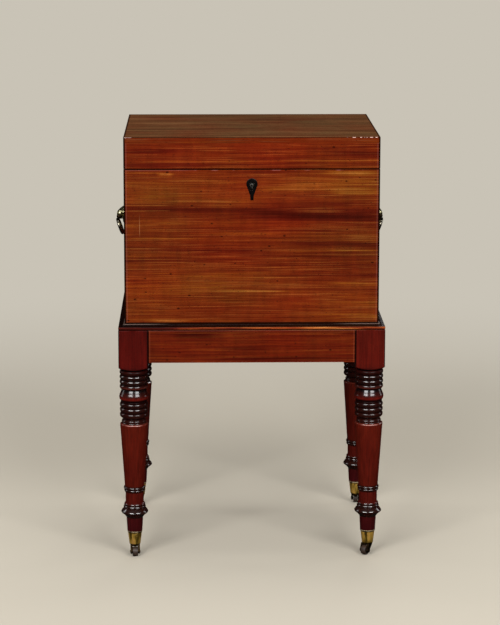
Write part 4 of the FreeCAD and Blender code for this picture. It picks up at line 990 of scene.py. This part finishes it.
def makeCup(corner):
    # A closed profile of (radius, height), turned about its upright axis: half an ellipse for the lip, a
    # cone with a bell-shaped groove at each scribed line, and the hollow inside with the pintle's bore.
    v = cup
    slope = (v["topRadius"] - v["footRadius"]) / (v["top"] - v["bottom"])
    a = np.linspace(0, math.pi, 11)
    lip = np.stack([v["topRadius"] + v["lip"] * np.sin(a),
                    v["top"] - v["lipHeight"] * (1 - np.cos(a)) / 2], 1)
    down = np.linspace(v["bodyFrom"], v["top"] - v["bottom"] - v["footEdge"], 34)
    fromScribe = (down - np.array(v["scribes"])[:, None]) / v["scribeWidth"]
    cut = v["scribeDepth"] * np.exp(-fromScribe ** 2).sum(0)
    body = np.stack([v["topRadius"] - slope * down - cut, v["top"] - down], 1)
    floor = v["bottom"] + v["floor"]
    inner = [(v["footRadius"] - v["footEdge"], v["bottom"]), (v["bore"], v["bottom"]), (v["bore"], floor),
             (v["footRadius"] + slope * v["floor"] - v["wall"], floor),
             (v["topRadius"] - v["wall"], v["top"])]
    radius, height = np.vstack([lip, body, inner]).T[:, :, None]
    a = np.linspace(0, 2 * math.pi, v["columns"], endpoint=False)
    xSide, ySide = corners[corner]
    grid = np.stack([xSide * legs["x"] + radius * np.cos(a), ySide * legs["y"] + radius * np.sin(a),
                     np.repeat(height, len(a), 1)], -1)
    return surface("castorCup_" + corner, grid, wrapRows=True, wrapColumns=True, sharp=30)


for corner in corners:
    fit(makeCup(corner), castorBrass, "stand", "castor_brass", "castor_cup_" + corner)
print("castors are finished")


# Cast brass: a round plate with a beaded rim and leaves, a fluted brow over the ears, and a plain drop ring.
handle = {
    "wall": 220.0, "pivotOut": 13.5, "pivotZ": 582.5, "radius": 23.0, "edge": 1.8, "valley": 2.6,
    "beadRing": 20.6, "beadRadius": 1.5, "beads": 40, "domeRadius": 16.0, "dome": 8.6,
    "leaves": 12, "leafRise": 0.9, "leafRadius": 11.5, "leafSpread": 3.2, "leavesEnd": 18.0,
    "brow": 16.4, "browRise": 8.0, "lip": 15.0, "lipRise": 5.2, "top": 8.0, "topRise": 17.0, "browEnd": 19.6,
    "flutes": 13, "fluteDepth": 0.4, "rings": 60, "spokes": 240,
    "earRadius": 4.8, "earThick": 3.0, "earIn": 4.0, "webFoot": -4.0, "earBevel": 0.4,
    "bossOut": 11.3, "bossUp": 4.4, "bossRadius": 6.5, "bossRise": 3.8, "bossSunk": 0.3,
    "ringMean": 12.8, "ringSection": 3.0, "neckOut": 3.0, "neckDrop": 6.6, "neckWaist": 0.18, "tilt": 19.6,
    "knuckle": 4.4, "knuckleHalf": 3.7, "knuckleWaist": 0.7, "waistEnd": 2.2, "endBead": 0.9,
    "endBeadRise": 0.5, "bore": 1.58,
}


def plateHeight(y, z):
    # How far the plate stands off the wood: dome with leaves, valley, beads on the rim, and the fluted brow.
    v = handle
    r = np.hypot(y, z)
    turn = np.arctan2(y, z)
    inner = np.clip(1 - (r / v["domeRadius"]) ** 2, 0, 1)
    leaf = (np.abs(np.cos(turn * v["leaves"] / 2)) ** 0.6
            * np.exp(-((r - v["leafRadius"]) / v["leafSpread"]) ** 2))
    height = (v["valley"] + (v["dome"] - v["valley"]) * inner ** 0.75
              + v["leafRise"] * (leaf - 0.4) * (r < v["leavesEnd"]))
    pitch = 2 * math.pi / v["beads"]
    offset = (np.mod(turn + pitch / 2, pitch) - pitch / 2) * v["beadRing"]
    gap = np.hypot(r - v["beadRing"], offset)
    beads = v["valley"] + np.sqrt(np.clip(v["beadRadius"] ** 2 - gap ** 2, 0, None))
    rimFall = np.clip((v["radius"] - r) / 1.0, 0, 1)
    height = np.where(np.abs(r - v["beadRing"]) < 2, np.maximum(beads, v["valley"]), height)
    height = v["edge"] + (height - v["edge"]) * np.sin(rimFall * math.pi / 2)
    reach = np.interp(z, [v["lipRise"], v["browRise"], 11.0, 14.0, v["topRise"], 18.6, v["browEnd"]],
                      [v["lip"], v["brow"], 14.9, 12.0, v["top"], 4.0, 0.0])
    around = np.arcsin(np.clip(y / np.maximum(reach, 1e-6), -1, 1))
    flutes = 1 - v["fluteDepth"] / v["brow"] * np.abs(np.sin(around * v["flutes"] / 2)) * (z > v["lipRise"])
    crest = np.sqrt(np.clip((reach * flutes) ** 2 - y ** 2, 0, None))
    crest *= np.clip((z - v["lipRise"] + 0.6) / 0.6, 0, 1) * np.clip((v["browEnd"] - z) / 0.4, 0, 1)
    return np.maximum(height, crest)


def sideways(grid, side, name, **how):
    # From local (outwards, y, up from the pivot) to the left or right side of the case.
    out, y, up = np.moveaxis(grid, -1, 0)
    placed = np.stack([side * (handle["wall"] + out), side * y, handle["pivotZ"] + up], -1)
    return surface(name, placed, **how)


def makePlate(side, name):
    # Rings of points out from the middle, each as high as plateHeight says, and a flat back.
    v = handle
    r = v["radius"] * np.linspace(0.01, 1, v["rings"]) ** 0.9
    a = np.linspace(0, 2 * math.pi, v["spokes"], endpoint=False)
    y, z = r[:, None] * np.sin(a), r[:, None] * np.cos(a)
    front = np.stack([plateHeight(y, z), y, z], -1)
    back = np.stack([np.zeros_like(a), y[-1], z[-1]], -1)[None]
    return sideways(np.concatenate([back, front[::-1]]), side, "rosePlate_" + name, wrapColumns=True,
                    capStart=True, capEnd=True, sharp=60)


def slab(outline, start, end, bevel):
    # A closed outline of (outwards, up) points as a plate from y = start to end with bevelled rims.
    middle = outline.mean(0)
    size = np.linalg.norm(outline - middle, axis=1, keepdims=True)
    small = middle + (outline - middle) * (1 - bevel / size)
    rows = []
    for points, y in ((small, start), (outline, start + bevel), (outline, end - bevel), (small, end)):
        rows.append(np.stack([points[:, 0], np.full(len(points), y), points[:, 1]], -1))
    return np.stack(rows)


def makeEar(side, name, inner, outer):
    # Half a circle round the pin, and straight edges back into the plate.
    v = handle
    a = np.linspace(-math.pi / 2, math.pi / 2 * 0.9, 24)
    eye = np.stack([v["pivotOut"] + v["earRadius"] * np.cos(a), v["earRadius"] * np.sin(a)], 1)
    back = np.array([[v["pivotOut"], v["browRise"] - 1], [v["valley"], v["browRise"] - 1],
                     [v["valley"], v["webFoot"]]])
    ear = slab(np.vstack([eye, back]), inner, outer, v["earBevel"])
    return sideways(ear, side, name, wrapColumns=True, capStart=True, capEnd=True, sharp=35)


def makeBoss(side, name, face, outward):
    # A domed boss at the brow's end above the pin: part of a ball that stands on the ear's face.
    v = handle
    ball = (v["bossRadius"] ** 2 + v["bossRise"] ** 2) / (2 * v["bossRise"])
    rimTilt = math.asin(v["bossRadius"] / ball)
    tilt = rimTilt * np.linspace(1.0, 0.02, 14)[:, None]
    around = np.linspace(0, 2 * math.pi, 64, endpoint=False)[None, ::outward]
    y = face + outward * ball * (np.cos(tilt) - math.cos(rimTilt)) + 0 * around
    grid = np.stack([v["bossOut"] + ball * np.sin(tilt) * np.cos(around), y,
                     v["bossUp"] + ball * np.sin(tilt) * np.sin(around)], -1)
    return sideways(grid, side, name, wrapColumns=True, capStart=True, capEnd=True, sharp=60)


def makeRing(side, name):
    # A torus that leans towards the case; its neck, a circle carried down to it that narrows by a sine; and
    # the knuckle on the pin, a turned profile with a bead at each end.
    v = handle
    lean = math.radians(v["tilt"])
    top = np.array([v["pivotOut"] + v["neckOut"], 0, -v["neckDrop"]])
    down = np.array([-math.sin(lean), 0, -math.cos(lean)])
    normal = np.array([math.cos(lean), 0, -math.sin(lean)])
    centre = top + down * v["ringMean"]
    a = np.linspace(0, 2 * math.pi, 128, endpoint=False)[:, None, None]
    b = np.linspace(0, 2 * math.pi, 32, endpoint=False)[None, :, None]
    spoke = np.cos(a) * down + np.sin(a) * np.array([0, 1, 0])
    torus = centre + spoke * v["ringMean"] + v["ringSection"] * (np.cos(b) * spoke + np.sin(b) * normal)
    pieces = [sideways(torus, side, "dropRing_" + name, wrapRows=True, wrapColumns=True, sharp=180)]
    t = np.linspace(0, 1, 9)[:, None, None]
    pivot = np.array([v["pivotOut"], 0, 0])
    axis = (top - pivot) / np.linalg.norm(top - pivot)
    aside = np.array([axis[2], 0, -axis[0]])
    waist = v["ringSection"] * (1 - v["neckWaist"] * np.sin(math.pi * t))
    neck = pivot + (top - pivot) * t + waist * (np.cos(b) * np.array([0, 1, 0]) + np.sin(b) * aside)
    pieces.append(sideways(neck[:, ::-1], side, "ringNeck_" + name, wrapColumns=True, capStart=True,
                           capEnd=True))
    half, r = v["knuckleHalf"], v["knuckle"]
    p = np.linspace(0, math.pi, 9)
    end = np.stack([r - v["endBeadRise"] * (1 - np.sin(p)), half - v["endBead"] * (1 - np.cos(p))], 1)
    middle = [(r - v["knuckleWaist"], half - v["waistEnd"]), (r - v["knuckleWaist"], v["waistEnd"] - half)]
    profile = np.vstack([(v["bore"], half), end, middle, end[::-1] * (1, -1), (v["bore"], -half)])
    c = np.linspace(0, 2 * math.pi, 48, endpoint=False)
    knuckle = np.stack([v["pivotOut"] + profile[:, :1] * np.cos(c), np.repeat(profile[:, 1:], len(c), 1),
                        profile[:, :1] * np.sin(c)], -1)
    pieces.append(sideways(knuckle, side, "ringKnuckle_" + name, wrapRows=True, wrapColumns=True, sharp=35))
    return pieces


for side, name in ((-1, "left"), (1, "right")):
    low, high = handle["earIn"], handle["earIn"] + handle["earThick"]
    fit(makePlate(side, name), handleBrass, "case", "handle_brass", "handle_rose_" + name)
    for label, inner, outer in (("front", -high, -low), ("back", low, high)):
        ear = makeEar(side, f"roseEar_{name}_{label}", inner, outer)
        fit(ear, handleBrass, "case", "handle_brass", "handle_rose_" + name)
    for label, outward in (("front", -1), ("back", 1)):
        boss = makeBoss(side, f"roseBoss_{name}_{label}", outward * (high - handle["bossSunk"]), outward)
        fit(boss, handleBrass, "case", "handle_brass", "handle_rose_" + name)
    for piece in makeRing(side, name):
        fit(piece, ringBrass, "ring_" + name, "handle_brass", "handle_ring_" + name)
print("handles are cast")


# Turned horn or ebony, let into the front and slightly domed, and a little lower at the keyhole's edge.
scutcheon = {"front": -165.0, "proud": 0.4, "thick": 2.0, "z": 664.0, "rise": 0.5, "radius": 9.7,
             "lean": 15.0, "neckDrop": 19.5, "neckWidth": 6.2, "drop": 28.0, "footWidth": 5.0,
             "holeRadius": 3.95, "slotWidth": 3.15, "slotDrop": 10.75, "edgeShare": 0.6, "deeper": 0.24,
             "cloudsPerMetre": 160.0, "roughness": 0.24, "ior": 1.54, "specular": 0.3}


def shapeRadius(angle, corners):
    # Distance from the centre to a closed outline of straight edges, in each direction.
    corners = np.asarray(corners)
    ahead = np.roll(corners, -1, 0)
    ray = np.stack([np.sin(angle), np.cos(angle)], -1)
    edge = ahead - corners
    cross = ray[:, None, 0] * edge[None, :, 1] - ray[:, None, 1] * edge[None, :, 0]
    cross = np.where(np.abs(cross) < 1e-9, 1e-9, cross)
    far = (corners[None, :, 0] * edge[None, :, 1] - corners[None, :, 1] * edge[None, :, 0]) / cross
    part = (corners[None, :, 0] * ray[:, None, 1] - corners[None, :, 1] * ray[:, None, 0]) / cross
    hit = (far > 0) & (part >= -1e-6) & (part <= 1 + 1e-6)
    return np.where(hit, far, np.inf).min(1)


def makeScutcheon():
    # Rows run from the keyhole's edge out to the rim and down its side; each point keeps its direction
    # from the keyhole's centre.
    v = scutcheon
    down = np.linspace(0, 1, 60) ** 1.6
    half = math.pi - 2.6 * down[::-1]
    top = np.linspace(0, 0.54, 8)[:-1]
    angle = np.concatenate([top, half, 2 * math.pi - half[::-1][1:], 2 * math.pi - top[::-1][:-1]])
    lean = math.radians(v["lean"])
    arc = np.linspace(-lean, math.pi + lean, 49)
    head = np.stack([v["radius"] * np.cos(arc), v["rise"] + v["radius"] * np.sin(arc)], 1)
    neck, foot = v["neckWidth"] / 2, v["footWidth"] / 2
    tail = [(-neck, -v["neckDrop"]), (-foot, -v["drop"]), (foot, -v["drop"]), (neck, -v["neckDrop"])]
    outer = shapeRadius(angle, np.vstack([head, tail]))
    slot = v["slotWidth"] / 2
    bend = math.asin(slot / v["holeRadius"])
    arc = math.pi - np.linspace(bend, 2 * math.pi - bend, 41)
    hole = np.stack([v["holeRadius"] * np.sin(arc), v["holeRadius"] * np.cos(arc)], 1)
    inner = shapeRadius(angle, np.vstack([hole, [(-slot, -v["slotDrop"]), (slot, -v["slotDrop"])]]))
    s = np.linspace(0, 1, 9)
    r = inner + (outer - inner) * s[:, None]
    dome = np.clip(1 - s ** 6, 0, 1)[:, None] * np.ones_like(r) * v["proud"]
    dome[0] *= v["edgeShare"]
    rows = np.stack([r * np.sin(angle), v["front"] - dome, r * np.cos(angle)], -1)
    deepInner = rows[0] + np.array([0, v["thick"] - v["proud"] + v["deeper"], 0])
    deepOuter = rows[-1] * np.array([1, 0, 1]) + np.array([0, v["front"] + v["thick"] - v["proud"], 0])
    grid = np.concatenate([deepInner[None], rows, deepOuter[None]]) + np.array([0, 0, v["z"]])
    return surface("escutcheonPlate", grid, wrapRows=True, wrapColumns=True, sharp=35)


def hornMaterial():
    # Black horn, rubbed to a soft polish.
    v = scutcheon
    material, tree = newMaterial("blackHorn")
    coords = addNode(tree, "TexCoord", out="Object")
    cloud = addNode(tree, "TexNoise", {"Vector": coords, "Scale": v["cloudsPerMetre"], "Detail": 3.0})
    colour = addNode(tree, "ValToRGB", (cloud,), stops=[(0.3, "#030202"), (0.7, "#0a0606")])
    shader = addNode(tree, "BsdfPrincipled", {
        "Base Color": colour, "Roughness": v["roughness"], "IOR": v["ior"],
        "Specular IOR Level": v["specular"]})
    addNode(tree, "OutputMaterial", (shader,), out=None)
    return material


fit(makeScutcheon(), hornMaterial(), "case", "ebony", "escutcheon")
print("escutcheon is let in")


low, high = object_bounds()
